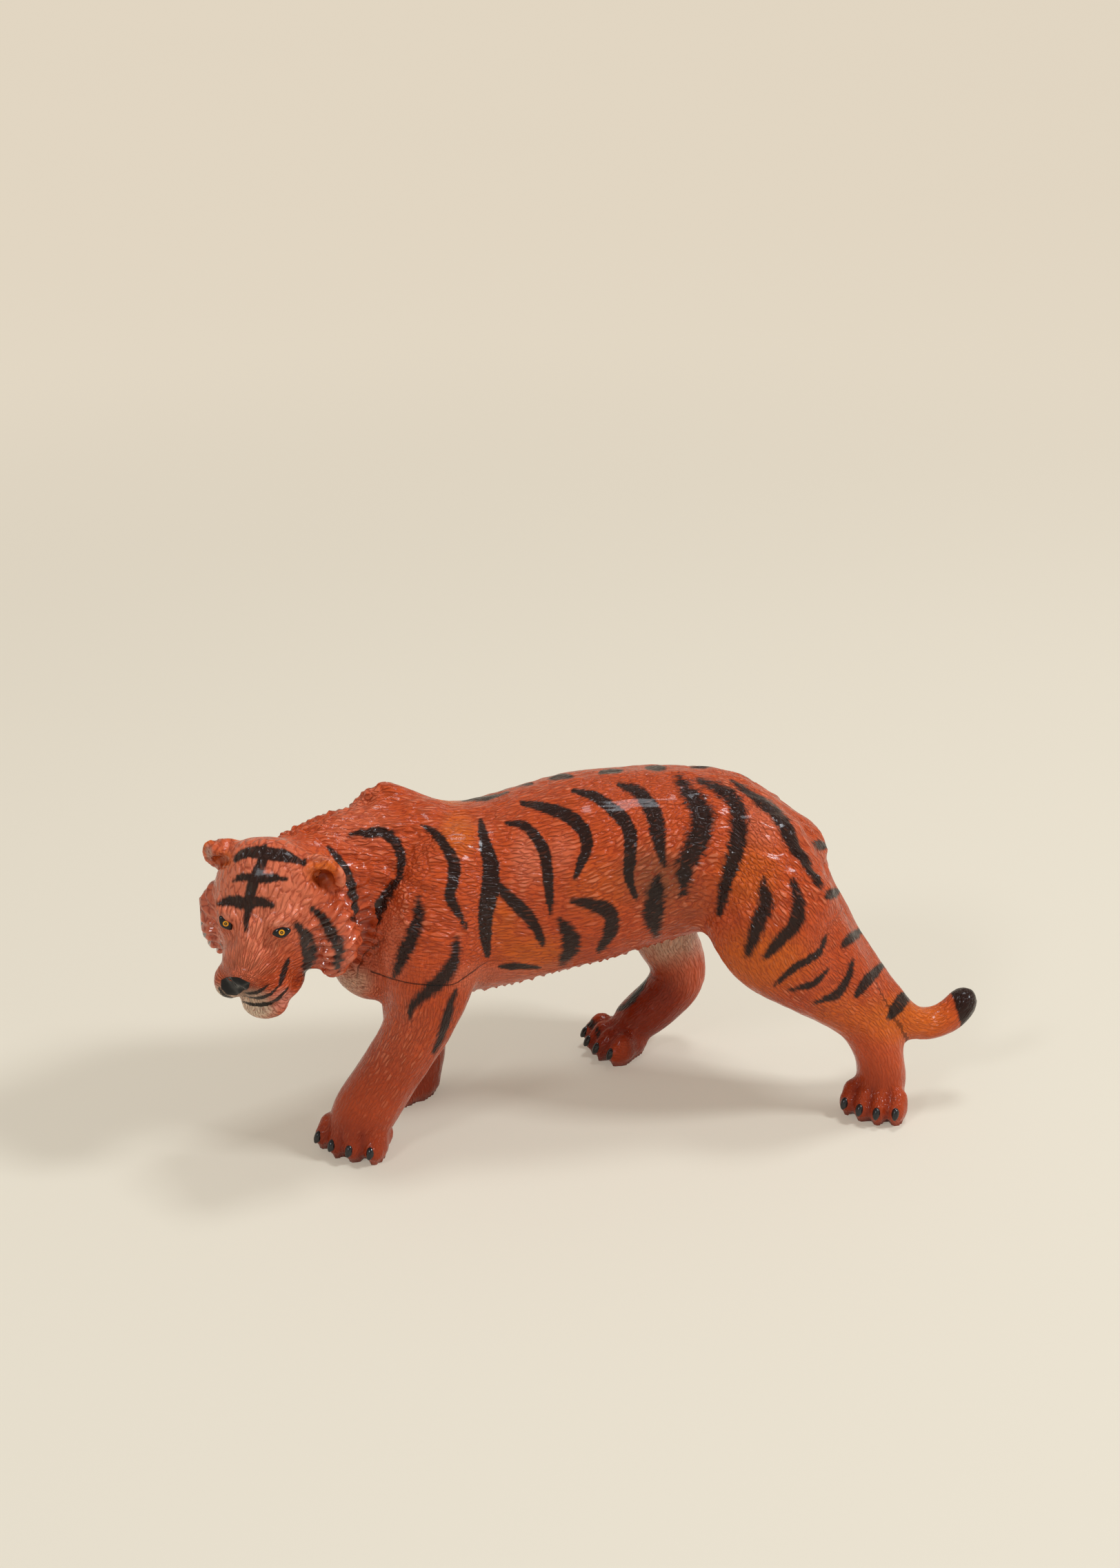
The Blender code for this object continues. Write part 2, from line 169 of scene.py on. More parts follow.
# Each limb's centre line: X, Y, Z, half its depth fore and aft, half its breadth
LIMBS = {
    "fore_left": [
        (-52, -18, 108, 12, 7), (-56, -22, 96, 18, 10), (-60, -24, 82, 19, 12),
        (-62, -25, 69, 16.5, 12.5), (-64, -25, 56, 13, 12), (-70, -24, 42, 11.4, 11),
        (-78, -22.5, 28, 11, 10.5), (-85.5, -21.5, 15, 11.4, 11), (-89, -21.5, 8, 10, 10.5),
    ],
    "fore_right": [
        (-71, 13, 116, 9, 6), (-68, 16, 104, 16, 9), (-65, 19, 88, 17, 12), (-63, 19, 70, 15, 12),
        (-62, 18, 54, 13, 11), (-64, 16.5, 40, 12, 10.5), (-64, 16, 26, 11, 10.5),
        (-64, 16, 14, 11.5, 11), (-64, 16, 8, 10, 10.5),
    ],
    "hind_left": [
        (54, -12, 105, 15, 9), (53, -19, 95, 20, 12), (55, -23, 82, 23, 14), (58, -25, 70, 20, 14),
        (66, -26, 59, 14.8, 13), (76.5, -25, 48, 10.2, 11.5), (87, -24, 38.5, 8.8, 10),
        (94.2, -24, 28, 8.8, 9.2), (97.3, -24, 18, 8.8, 9.2), (98, -24, 9, 8.8, 9.4),
    ],
    "hind_right": [
        (50, 11, 104, 15, 9), (47, 17, 94, 20, 12), (41, 24, 82, 21, 13.5), (34, 29, 70, 18, 12.5),
        (30, 32, 57, 14.5, 11), (30.5, 33, 46, 12.2, 9.8), (35.5, 33.5, 35, 10.6, 9.2),
        (35.5, 33.4, 26, 10.2, 9), (28.5, 33.2, 18, 9.8, 8.8), (19.5, 32.6, 11, 8.8, 8.8),
    ],
}
NECK = [
    (-62, 1, 89, 32, 24), (-78, 0, 91, 29.5, 22), (-92, -4, 93, 26.5, 19.5), (-104, -10, 94, 22.5, 18),
    (-111, -14, 94, 18, 17),
]

# Skull outline: distance ahead of the head's middle, top, bottom, half its breadth
SKULL = [
    (-19, 13, -11, 16), (-11, 23.5, -18, 20.5), (-3, 25.5, -21, 21.5), (4, 21.5, -22.5, 19),
    (9, 15, -23, 16.0), (12.5, 9, -23.5, 13.0), (15.5, 3, -23.5, 11.8),
]

# Centre line of the tail: X, Y, Z and share of its radius
TAIL = [
    (64, -1, 103, 1.1), (70, -3, 96, 1.1), (74, -7, 84, 1.08), (79.8, -11, 73, 1.05),
    (86, -15, 61.5, 1.03), (94, -19, 49.5, 1.0), (101, -21, 40, 0.98), (107, -21, 33.5, 0.96),
    (114, -20, 30.3, 0.93), (121, -19, 31, 0.93), (126, -18, 34, 0.95), (128.5, -17, 36.5, 0.92),
]

# The flesh between the left thigh and the tail: X, Y, Z, half its depth and half its breadth
TAIL_ROOT = [
    (62, -14, 94, 12, 9), (67, -18, 82, 12, 11), (73, -21, 70, 11.5, 11.5), (81, -22.5, 58, 10, 11),
    (89, -23, 47, 8.5, 9.5), (96, -22.5, 39, 7, 8),
]

# Shoulders, chest and haunches: middle and radii
MUSCLES = [
    ((-72, 9, 113), (12, 7, 12)), ((-50, -14, 106), (13, 7, 12)), ((-62, -18, 84), (20, 13, 22)),
    ((-64, 16, 84), (20, 13, 22)), ((-80, -6, 66), (14, 17, 14)), ((50, -13, 93), (23, 15, 24)),
    ((46, 12, 90), (23, 15, 25)),
]

# Fine forms on each half of the face: middle and spread in the head's axes, and height
FACE_FORMS = [
    ((EYE_SPACING / 2 + 0.1, 15.6, 2.6), (3.6, 4.0, 2.0), -0.9),
    ((EYE_SPACING / 2 - 4.6, 17.0, 0.2), (1.6, 3.0, 2.2), -0.5),
    ((EYE_SPACING / 2, 14.5, 6.3), (5.5, 4.0, 1.5), 0.5),
    ((3.1, 28.0, -9.0), (1.3, 3.0, 1.2), -0.9),
    ((0.0, 27.5, -13.0), (0.8, 4.0, 3.4), -0.8),
    ((0.0, 26.0, -4.0), (4.4, 4.0, 1.2), -0.35),
    ((6.5, 23.5, -13.5), (4.4, 4.0, 3.4), 0.4),
]

# The parting of the lips on each half of the face, in the head's axes
LIP_LINE = [(0, 24, -17.5), (4, 23.5, -19), (8, 20.5, -19.8), (11.5, 14.5, -18.5), (13, 11, -16.5)]

# The fuller lip on the head's right side: middle and spread in the head's axes, and height
LIP_FOLD = ((-8.5, 21, -16), (5, 6, 4), 1.7)

# Each paw's ankle on the ground, the heading of its toes from -X toward -Y, and its share of the width
PAWS = {
    "fore_left": ((-86.8, -19.2), math.radians(51), 1.08),
    "fore_right": ((-66, 15), math.radians(4), 1.05),
    "hind_left": ((97.0, -24.6), math.radians(57), 0.92),
    "hind_right": ((14.8, 31.5), math.radians(20), 0.92),
}

# The fine joint line across the top of the left foreleg, in pixels
JOINT_LINE = [(537, 1409), (578, 1423), (620, 1429), (659, 1428), (684, 1412), (712, 1395), (745, 1398)]

# Each eye's pupil, inner corner and outer corner, in pixels
EYE_MARKS = {
    "left_eye": ((408.5, 1352.0), (398.0, 1354.0), (421.0, 1349.0)),
    "right_eye": ((327.5, 1339.0), (336.0, 1347.0), (320.0, 1331.0)),
}

# How much wider than its drawn half width a stripe swells at its middle
STRIPE_SWELL = 1.2

# Sprayed stripes of the body: half width, softness of the edge and path, in pixels
BODY_STRIPES = {
    "neck_front": (6, 2.5, [(476, 1228), (490, 1245), (503, 1267), (512, 1300), (513, 1336)]),
    "shoulder_loop": (7, 3, [
        (506, 1211), (521, 1208), (534, 1210), (548, 1206), (562, 1210), (575, 1225), (582, 1246),
        (578, 1279),
    ]),
    "shoulder_loop_foot": (8, 4, [(578, 1275), (560, 1298), (547, 1324), (539, 1356)]),
    "shoulder_rear": (7.5, 3, [
        (613, 1197), (632, 1210), (649, 1233), (659, 1255), (656, 1281), (652, 1300), (662, 1320),
        (676, 1345),
    ]),
    "ribs_first": (10.5, 2.5, [
        (697, 1190), (703, 1223), (712, 1256), (710, 1288), (705, 1321), (704, 1353), (707, 1386),
    ]),
    "ribs_first_branch": (8, 3, [(716, 1278), (738, 1301), (760, 1323), (777, 1345), (787, 1371)]),
    "ribs_second": (7.5, 2.5, [
        (733, 1194), (760, 1197), (779, 1217), (790, 1239), (794, 1267), (796, 1293), (799, 1325),
    ]),
    "ribs_third": (8.5, 2.5, [
        (756, 1165), (789, 1171), (822, 1183), (845, 1203), (851, 1227), (842, 1253), (834, 1272),
    ]),
    "ribs_fourth": (8.5, 2.5, [
        (831, 1147), (863, 1156), (892, 1177), (912, 1203), (914, 1238), (912, 1271), (922, 1303),
    ]),
    "loin_first": (10, 4, [
        (898, 1138), (927, 1150), (948, 1180), (954, 1206), (957, 1232), (963, 1254),
    ]),
    "loin_second": (15, 8, [
        (985, 1131), (1003, 1157), (1019, 1182), (1011, 1219), (995, 1255), (990, 1296),
    ]),
    "haunch_first": (10.5, 6, [
        (1013, 1131), (1044, 1145), (1068, 1166), (1072, 1202), (1064, 1243), (1052, 1284),
        (1043, 1325),
    ]),
    "haunch_second": (8, 3.5, [
        (1060, 1131), (1097, 1157), (1130, 1186), (1150, 1223), (1170, 1255), (1191, 1287),
    ]),
    "thigh_first": (10, 6, [(1105, 1276), (1111, 1309), (1101, 1333), (1083, 1386)]),
    "thigh_second": (9, 5, [(1149, 1276), (1158, 1309), (1154, 1337), (1134, 1362), (1110, 1388)]),
    "thigh_thin_first": (4.6, 3, [(1198, 1355), (1187, 1382), (1154, 1402), (1123, 1429)]),
    "thigh_thin_second": (4.2, 3, [(1202, 1405), (1179, 1427), (1144, 1436)]),
    "thigh_thin_third": (5.4, 3.5, [(1237, 1392), (1227, 1423), (1211, 1443), (1181, 1454)]),
    "flank_hook": (9.5, 4, [
        (829, 1307), (859, 1312), (881, 1321), (888, 1338), (881, 1360), (868, 1378),
    ]),
    "flank_patch": (11, 6, [(813, 1336), (827, 1358), (825, 1380), (814, 1397)]),
    "belly_bar": (4, 2, [(723, 1402), (752, 1402), (785, 1403)]),
    "groin_diamond": (13, 7, [(954, 1274), (948, 1315), (950, 1356)]),
    "upper_arm": (9, 5.5, [(605, 1302), (608, 1323), (601, 1351), (584, 1386), (572, 1416)]),
    "elbow": (9, 6, [(662, 1362), (659, 1392), (643, 1418), (619, 1439), (600, 1457), (594, 1476)]),
    "forearm": (6, 4, [(661, 1435), (650, 1468), (642, 1498), (629, 1525)]),
    "tail_root": (6, 3.5, [(1179, 1222), (1197, 1229)]),
    "tail_first": (6, 3.5, [(1196, 1302), (1217, 1291)]),
    "tail_second": (6, 3.5, [(1220, 1374), (1234, 1361), (1252, 1346)]),
    "tail_third": (6.5, 3, [(1240, 1446), (1257, 1423), (1283, 1396)]),
    "tail_fourth": (8, 3, [(1290, 1477), (1302, 1458), (1322, 1434)]),
}

# Marks on the far side of the spine that the picture shows: half width, softness and path, in pixels
SPINE_STRIPES = {
    "shoulder": (3, 2, [(668, 1161), (705, 1157), (738, 1149)]),
    "ribs_first": (3.5, 2, [(722, 1141), (745, 1137), (772, 1136)]),
    "ribs_second": (3.5, 2, [(795, 1130), (812, 1126), (832, 1126)]),
    "loin_first": (3.5, 2, [(868, 1121), (885, 1118), (902, 1118)]),
    "loin_second": (3.5, 2, [(936, 1114), (950, 1113), (966, 1113)]),
    "haunch": (3.5, 2, [(1002, 1111), (1018, 1111), (1034, 1113)]),
}

# Stripes of the two right legs, whose inner sides show: half width, softness and path, in pixels
FAR_STRIPES = {
    "shin_front": (4, 3, [(942, 1404), (929, 1432), (908, 1459), (880, 1464)]),
    "toe_shade": (6, 5, [(852, 1477), (858, 1490)]),
    "toe_split": (2.5, 3, [(866, 1490), (866, 1506)]),
}

# Stripes of the head: half width, softness and path, in pixels
HEAD_STRIPES = {
    "neck_front": BODY_STRIPES["neck_front"],
    "crown_bar": (8.5, 2.5, [
        (341, 1247), (352, 1238), (368, 1236), (390, 1238), (414, 1242), (440, 1252),
    ]),
    "brow_line": (7, 2.5, [
        (384, 1226), (382, 1242), (375, 1260), (366, 1286), (361, 1308), (358, 1338),
    ]),
    "brow_foot": (3.5, 3, [(360, 1310), (357, 1332), (356, 1350)]),
    "forehead_bar": (6.2, 3, [(338, 1278), (352, 1272), (372, 1274), (395, 1273), (415, 1275)]),
    "frown_bar": (8, 3.5, [(318, 1311), (334, 1306), (352, 1309), (376, 1308), (396, 1314)]),
    "cheek_front": (8.5, 4, [(429, 1341), (443, 1359), (448, 1382), (443, 1413)]),
    "cheek_rear": (8, 4.5, [(452, 1318), (467, 1330), (477, 1348), (490, 1372), (488, 1403)]),
    "mouth_side": (3.6, 2, [(419, 1389), (412, 1408), (405, 1429)]),
    "whiskers_top": (2.2, 1.4, [(354, 1441), (374, 1438), (391, 1427)]),
    "whiskers_middle": (2, 1, [(352, 1446), (374, 1447), (392, 1441), (404, 1430)]),
    "lip_line": (2.6, 1, [(351, 1452), (368, 1457), (387, 1456), (403, 1448), (418, 1432)]),
    "whiskers_side": (1.8, 1, [(321, 1430), (330, 1441), (348, 1449)]),
    "whiskers_low": (1.6, 1, [(318, 1439), (330, 1449), (345, 1452)]),
}

# Painted areas with a hard edge, in pixels
NOSE_PAD = [
    (322, 1421), (330, 1416.5), (346, 1417.5), (363.5, 1426), (361.5, 1433), (352, 1438.5),
    (344, 1442), (331, 1439), (323.5, 1431),
]
TAIL_TIP = [(1376, 1420), (1425, 1420), (1425, 1500), (1395, 1500), (1389, 1469), (1379, 1443)]
EYE_RIMS = [
    [
        (397.5, 1351), (403, 1345.5), (411, 1343.5), (419.5, 1346.5), (421, 1350), (416, 1357),
        (408, 1360), (401, 1357),
    ],
    [
        (320, 1330), (325, 1331.5), (332, 1337), (336.5, 1343), (334.5, 1348), (328, 1346.5),
        (321.5, 1338),
    ],
]

# Hollows of the two ears: place and radii in pixels, and depth in millimetres
EAR_HOLLOWS = {
    "left_ear": ((468, 1274), (15, 13), -2.6),
    "right_ear": ((322, 1247), (9, 9), -1.4),
}

# The thick rim of the left ear, in pixels
EAR_RIM = [(444, 1248), (458, 1245), (472, 1248), (486, 1259), (494, 1274), (495, 1290)]

# Sprayed colours of the near side, with painted sheen, a painted highlight and painted shade among them:
# place and radii in pixels, colour and strength
BODY_SPRAY = {
    "thigh": ((1100, 1395), (85, 55), "orange", 0.85),
    "haunch": ((1085, 1270), (55, 60), "orange", 0.55),
    "tail": ((1310, 1478), (80, 40), "orange", 0.9),
    "hock": ((1215, 1470), (45, 40), "orange", 0.5),
    # Painted highlight: lighter orange on the top of the shoulder blade
    "scapula_highlight": ((664, 1210), (30, 36), "orange", 0.8),
    "low_ribs": ((775, 1383), (60, 30), "orange", 0.75),
    "mid_ribs": ((727, 1335), (30, 45), "orange", 0.5),
    "flank": ((868, 1290), (50, 50), "orange", 0.35),
    # Painted sheen: pink where the gloss of the ribs and the haunch would catch the light
    "rib_painted_sheen": ((765, 1245), (28, 45), "pink", 0.55),
    "rib_painted_sheen_rear": ((815, 1235), (22, 35), "pink", 0.4),
    "haunch_painted_sheen": ((1110, 1195), (45, 45), "pink", 0.35),
    "upper_arm": ((560, 1370), (40, 60), "pink", 0.45),
    "belly": ((720, 1420), (90, 26), "pink", 0.5),
    "groin": ((985, 1305), (60, 60), "shade", 0.35),
    "loin": ((945, 1270), (56, 50), "shade", 0.6),
    "nape": ((520, 1200), (60, 40), "pink", 0.35),
    "bib": ((500, 1425), (44, 32), "pale", 0.6),
    "fore_paw": ((490, 1656), (90, 46), "dark", 0.6),
    "shin": ((560, 1490), (60, 70), "pink", 0.2),
    "hind_paw": ((1255, 1590), (70, 60), "dark", 0.4),
    # Painted shade: the lower foreleg darker
    "wrist_painted_shade": ((530, 1570), (100, 80), "dark", 0.35),
}

# Sprayed colours of the two right legs' inner sides, as above
FAR_SPRAY = {
    "inner_thigh": ((968, 1362), (56, 44), "pale", 0.75),
    "inner_thigh_low": ((990, 1410), (30, 36), "pink", 0.5),
    "shin": ((945, 1465), (75, 65), "dark", 0.85),
    "paw": ((885, 1520), (60, 48), "dark", 0.85),
    "fore_heel": ((620, 1560), (60, 60), "dark", 0.45),
}

# Sprayed colours of the head, with painted light on the forehead, painted shade in the ears' hollows and
# painted highlights on the left ear's rim, as above
HEAD_SPRAY = {
    "chin": ((366, 1464), (38, 22), "pale", 1.0),
    "right_lip": ((324, 1442), (24, 17), "pale", 1.0),
    "left_lip": ((362, 1444), (32, 12), "pale", 0.75),
    "inner_lip": ((410, 1450), (22, 18), "rose", 0.9),
    "over_left_eye": ((408, 1341), (18, 4.6), "grey", 0.85),
    "over_right_eye": ((328, 1328), (11, 5), "grey", 0.85),
    "under_left_eye": ((398, 1366), (12, 9), "pink", 0.5),
    "muzzle": ((350, 1385), (46, 48), "pink", 0.7),
    "muzzle_dark": ((390, 1400), (22, 18), "dark", 0.12),
    # Pink over the forehead: partly its paint, partly painted light from above
    "forehead_painted_light": ((372, 1300), (110, 95), "pink", 0.9),
    "right_ear": ((322, 1246), (18, 16), "orange", 0.6),
    "left_ear": ((468, 1262), (28, 26), "orange", 0.75),
    # Painted shade in the left ear's hollow
    "left_ear_painted_shade": ((471, 1278), (19, 13), "dark", 0.6),
    # Painted highlight: pink along the left ear's lit rim
    "left_ear_rim_highlight": ((493, 1270), (6, 24), "pink", 0.9),
    "left_ear_rim_top_highlight": ((468, 1247), (26, 5), "pink", 0.85),
    # Painted shade in the right ear's hollow
    "right_ear_painted_shade": ((322, 1248), (12, 12), "dark", 0.45),
    "right_ear_rim_highlight": ((303, 1238), (6, 14), "grey", 0.6),
    "cheek": ((490, 1370), (40, 60), "pink", 0.4),
}


def smooth_rows(rows, step):
    """Rows of numbers about step apart along a Catmull-Rom curve through the given rows."""
    rows = np.array(rows, float)
    ends = np.vstack([2 * rows[0] - rows[1], rows, 2 * rows[-1] - rows[-2]])
    found = []
    for before, start, end, after in zip(ends, ends[1:], ends[2:], ends[3:]):
        count = max(1, round(float(np.linalg.norm((end - start)[:3])) / step))
        for t in np.arange(count) / count:
            found.append(
                start
                + 0.5 * t * (end - before)
                + 0.5 * t**2 * (2 * before - 5 * start + 4 * end - after)
                + 0.5 * t**3 * (3 * start - 3 * end + after - before)
            )
    return [*found, rows[-1]]


def signed_power(value, power):
    """The value raised to a power, with its sign kept."""
    return math.copysign(abs(value) ** power, value)


def section_matrix(centre, up, side, ahead, depth, breadth):
    """The matrix that carries a unit circle in X and Y to a section of a loft."""
    turn = Matrix((up * depth, side * breadth, ahead)).transposed().to_4x4()
    return Matrix.Translation(centre) @ turn


def add_loft(bm, rows, reference=(0, 1, 0), step=3.0, sides=28, fullness=1.0, facing=None):
    """A closed, domed body along rows of X, Y, Z, half depth and half breadth, by extrusion.

    A fullness under 1 makes the sections squarer than an ellipse. The sections
    stand square to the path, or to the facing direction where one is given.
    """
    path = smooth_rows(rows, step)
    reference = Vector(reference)
    sections = []
    for number, row in enumerate(path):
        chord = path[min(number + 1, len(path) - 1)][:3] - path[max(number - 1, 0)][:3]
        ahead = Vector(facing or chord).normalized()
        side = (reference - ahead * reference.dot(ahead)).normalized()
        sections.append((Vector(row[:3]), ahead.cross(side), side, ahead, row[3], row[4]))
    stacked = [domed(sections[0], -1, turn) for turn in (82, 60, 30)]
    stacked += sections
    stacked += [domed(sections[-1], 1, turn) for turn in (30, 60, 82)]
    matrices = [section_matrix(*section) for section in stacked]
    ring = bmesh.ops.create_circle(bm, cap_ends=True, segments=sides, radius=1.0)["verts"]
    for vert in ring:
        vert.co.x = signed_power(vert.co.x, fullness)
        vert.co.y = signed_power(vert.co.y, fullness)
    bmesh.ops.transform(bm, matrix=matrices[0], verts=ring)
    edges = list({edge for vert in ring for edge in vert.link_edges})
    for before, after in zip(matrices, matrices[1:]):
        made = bmesh.ops.extrude_edge_only(bm, edges=edges)["geom"]
        verts = [item for item in made if isinstance(item, bmesh.types.BMVert)]
        ends = set(verts)
        edges = [item for item in made if isinstance(item, bmesh.types.BMEdge) and set(item.verts) <= ends]
        bmesh.ops.transform(bm, matrix=after @ before.inverted(), verts=verts)
    bmesh.ops.edgeloop_fill(bm, edges=edges)


def domed(section, way, turn):
    """The end section carried on along a dome, up to turn degrees toward its pole."""
    centre, up, side, ahead, depth, breadth = section
    turn = math.radians(turn)
    reach = min(depth, breadth) * math.sin(turn)
    return centre + ahead * way * reach, up, side, ahead, depth * math.cos(turn), breadth * math.cos(turn)


def unit_ball():
    """The mesh of a ball of radius 1, made once."""
    ball = bpy.data.meshes.get("unit_ball")
    if ball is None:
        bm = bmesh.new()
        bmesh.ops.create_icosphere(bm, subdivisions=3, radius=1)
        ball = bpy.data.meshes.new("unit_ball")
        bm.to_mesh(ball)
        bm.free()
    return ball


def add_blob(bm, centre, radii, turn=Matrix.Identity(3)):
    """An ellipsoid with its own axes turned by the matrix."""
    place = Matrix.Translation(Vector(centre)) @ turn.to_4x4() @ Matrix.Diagonal(Vector(radii)).to_4x4()
    start = len(bm.verts)
    bm.from_mesh(unit_ball())
    bm.verts.ensure_lookup_table()
    bmesh.ops.transform(bm, matrix=place, verts=bm.verts[start:])


def head_frame():
    """The matrix from the head's own axes (left, forward, up) to the tiger's."""
    forward = Vector((-math.sin(HEAD_TURN), -math.cos(HEAD_TURN), 0))
    left = Vector((math.cos(HEAD_TURN), -math.sin(HEAD_TURN), 0))
    up = Vector((0, 0, 1))
    nodded = forward * math.cos(HEAD_NOD) - up * math.sin(HEAD_NOD)
    risen = up * math.cos(HEAD_NOD) + forward * math.sin(HEAD_NOD)
    turn = Matrix((left, nodded, risen)).transposed()
    return Matrix.Translation(Vector(HEAD_PLACE)) @ turn.to_4x4()


def add_head_blob(bm, centre, radii, tilt=0.0, swing=0.0, roll=0.0):
    """An ellipsoid in the head's axes, pitched by tilt, yawed by swing and rolled, in degrees."""
    place = head_frame()
    own = (
        Matrix.Rotation(math.radians(swing), 3, "Z")
        @ Matrix.Rotation(math.radians(tilt), 3, "X")
        @ Matrix.Rotation(math.radians(roll), 3, "Y")
    )
    add_blob(bm, place @ Vector(centre), radii, place.to_3x3() @ own)


def add_trunk(bm):
    """The trunk as one loft, with a low ridge along the spine."""
    rows = [
        (x, 0, (top + bottom) / 2, (top - bottom) / 2, share * BODY_WIDTH / 2)
        for x, top, bottom, share in TRUNK
    ]
    add_loft(bm, rows, step=4.0, sides=40, fullness=0.86)
    ridge = [(x, 0, top - RIDGE_RADIUS + 1.2, RIDGE_RADIUS, RIDGE_RADIUS) for x, top, _, _ in TRUNK[3:]]
    add_loft(bm, ridge)


def add_limbs(bm):
    """The four legs, the neck and the tail that runs down the left hind leg."""
    for rows in LIMBS.values():
        add_loft(bm, rows, sides=32)
    add_loft(bm, NECK, sides=36)
    add_loft(bm, TAIL_ROOT, sides=24)
    add_loft(bm, tail_rows(), sides=20)


def tail_rows():
    """The tail's centre line with its half depth and half breadth."""
    return [(x, y, z, share * TAIL_RADIUS, share * TAIL_RADIUS) for x, y, z, share in TAIL]


def add_muscles(bm):
    """Shoulder blades, haunches and the front of the chest."""
    for middle, radii in MUSCLES:
        add_blob(bm, middle, radii)


def add_skull(bm):
    """The skull and muzzle as one loft, with the large masses of the cheeks."""
    place = head_frame()
    rows = [
        (*(place @ Vector((0, ahead, (top + bottom) / 2))), (top - bottom) / 2, breadth)
        for ahead, top, bottom, breadth in SKULL
    ]
    add_loft(bm, rows, reference=place.col[0].xyz, step=2.0, sides=36, fullness=0.94, facing=place.col[1].xyz)
    for side in (-1, 1):
        add_head_blob(bm, cheek_middle(side), CHEEK_RADII)
        add_head_blob(bm, (side * 11, 5, -9), (7, 7, 9))


def cheek_middle(side):
    """The middle of the round mass under the ruff."""
    return side * (CHEEK_WIDTH / 2 - CHEEK_RADII[0]), -3, -8


def add_face(bm):
    """The lips, brows, eyes, nose, chin, ears and ruff."""
    for side in (-1, 1):
        eye = side * EYE_SPACING / 2
        add_head_blob(bm, (side * 6.0, 18.9, -14.0), (7.4, 6.8, 6.2), swing=-side * 12)
        add_head_blob(bm, (side * 6.2, 10.5, -19.8), (6.6, 9.5, 5.2))
        add_head_blob(bm, (eye - side * 0.4, 10.2, 7.6), (6.6, 3.8, 2.2), swing=-side * 25, roll=-side * 10)
        add_head_blob(bm, (eye, 12.8, 2.8), (EYE_RADIUS, EYE_RADIUS, EYE_RADIUS))
        add_head_blob(bm, (eye + side * 0.4, 11.6, -1.6), (5.4, 3.0, 1.8), swing=-side * 25)
        add_ear(bm, side)
        add_ruff(bm, side)
    add_head_blob(bm, (0, 14.0, 3.2), (5.4, 12, 4.0), tilt=-40)
    add_head_blob(bm, (0, 13.0, -7.5), (12.4, 11.5, 8.6), tilt=-24)
    add_head_blob(bm, (0, 25.2, -7.6), (NOSE_WIDTH / 2, 3.4, 3.6), tilt=-20)
    add_head_blob(bm, (1.4, 16.8, -24.6), (8.2, 6.6, 5.4))


def add_ear(bm, side):
    """A cupped ear: a leaning shell with a thick rim."""
    place = head_frame()
    lean = Matrix.Rotation(math.radians(side * 42), 3, "Y")
    lean = lean @ Matrix.Rotation(math.radians(-side * 25), 3, "Z")
    root = Vector((side * 12.6, -6, 9.0))
    count = 11
    for number in range(count):
        turn = math.pi * number / (count - 1)
        rim = Vector((EAR_WIDTH / 2 * math.cos(turn), 1.2 * math.sin(turn), 1 + EAR_HEIGHT * math.sin(turn)))
        add_blob(bm, place @ (root + lean @ rim), (2.1, 2.3, 2.1))
    add_head_blob(bm, (side * 13.5, -7.5, 17.6), (5.5, 3.0, 3.4), roll=side * 20)
    back = root + lean @ Vector((0, -3.0, 4.5))
    add_blob(bm, place @ back, (EAR_WIDTH * 0.5, 2.2, EAR_HEIGHT * 0.84), place.to_3x3() @ lean)


def add_ruff(bm, side):
    """Rows of tufts that fan back over the round of the cheek."""
    middle = Vector(cheek_middle(side))
    for around in (48, 74, 100):
        turn = math.radians(around)
        for number in range(8):
            height = 0.82 - 0.24 * number
            reach = math.sqrt(1 - height**2)
            out = Vector((side * math.sin(turn) * reach, math.cos(turn) * reach, height))
            tuft = middle + Vector([size * share for size, share in zip(CHEEK_RADII, out)])
            add_head_blob(bm, tuft, (1.9, 4.6, 1.5), tilt=-6, swing=side * (90 - around))


def paw_axes(heading):
    """A paw's own axes: toward its toes, across it and up."""
    ahead = Vector((-math.cos(heading), -math.sin(heading), 0))
    across = Vector((-math.sin(heading), math.cos(heading), 0))
    return Matrix((ahead, across, Vector((0, 0, 1)))).transposed()


def toes(ankle, heading, share):
    """Each toe's middle on the ground and its own axes."""
    turn = paw_axes(heading)
    foot = Vector((*ankle, 0))
    found = []
    for number in range(4):
        place = number - 1.5
        reach = 0.31 * PAW_LENGTH - 1.1 * place**2
        toe = foot + turn @ Vector((reach, place * PAW_WIDTH * share * TOE_PITCH, 0))
        found.append((toe, turn @ Matrix.Rotation(math.radians(7 * place), 3, "Z")))
    return found


def add_paw(bm, ankle, heading, share):
    """A broad paw with four knuckled toes and a heel, on the ground."""
    pad = (0.44 * PAW_LENGTH * share, 0.42 * PAW_WIDTH * share, 7.5)
    add_blob(bm, Vector((*ankle, 5.2)), pad, paw_axes(heading))
    for toe, spread in toes(ankle, heading, share):
        add_blob(bm, toe + Vector((0, 0, 5.0)), (6.6, TOE_WIDTH / 2, 0.36 * PAW_HEIGHT), spread)
        add_blob(bm, toe + spread @ Vector((-0.6, 0, 7.2)), (4.6, TOE_WIDTH / 2, 0.36 * PAW_HEIGHT), spread)


def add_belly_fringe(bm):
    """Small tufts along the middle of the belly."""
    count = 15
    for number in range(count):
        x = -50 + 74 * number / (count - 1)
        bottom = float(np.interp(x, [row[0] for row in TRUNK], [row[2] for row in TRUNK]))
        back = Matrix.Rotation(math.radians(-32), 3, "Y")
        add_blob(bm, (x, -3, bottom + 0.8), (BELLY_TUFT, 3.2, 1.9), back)


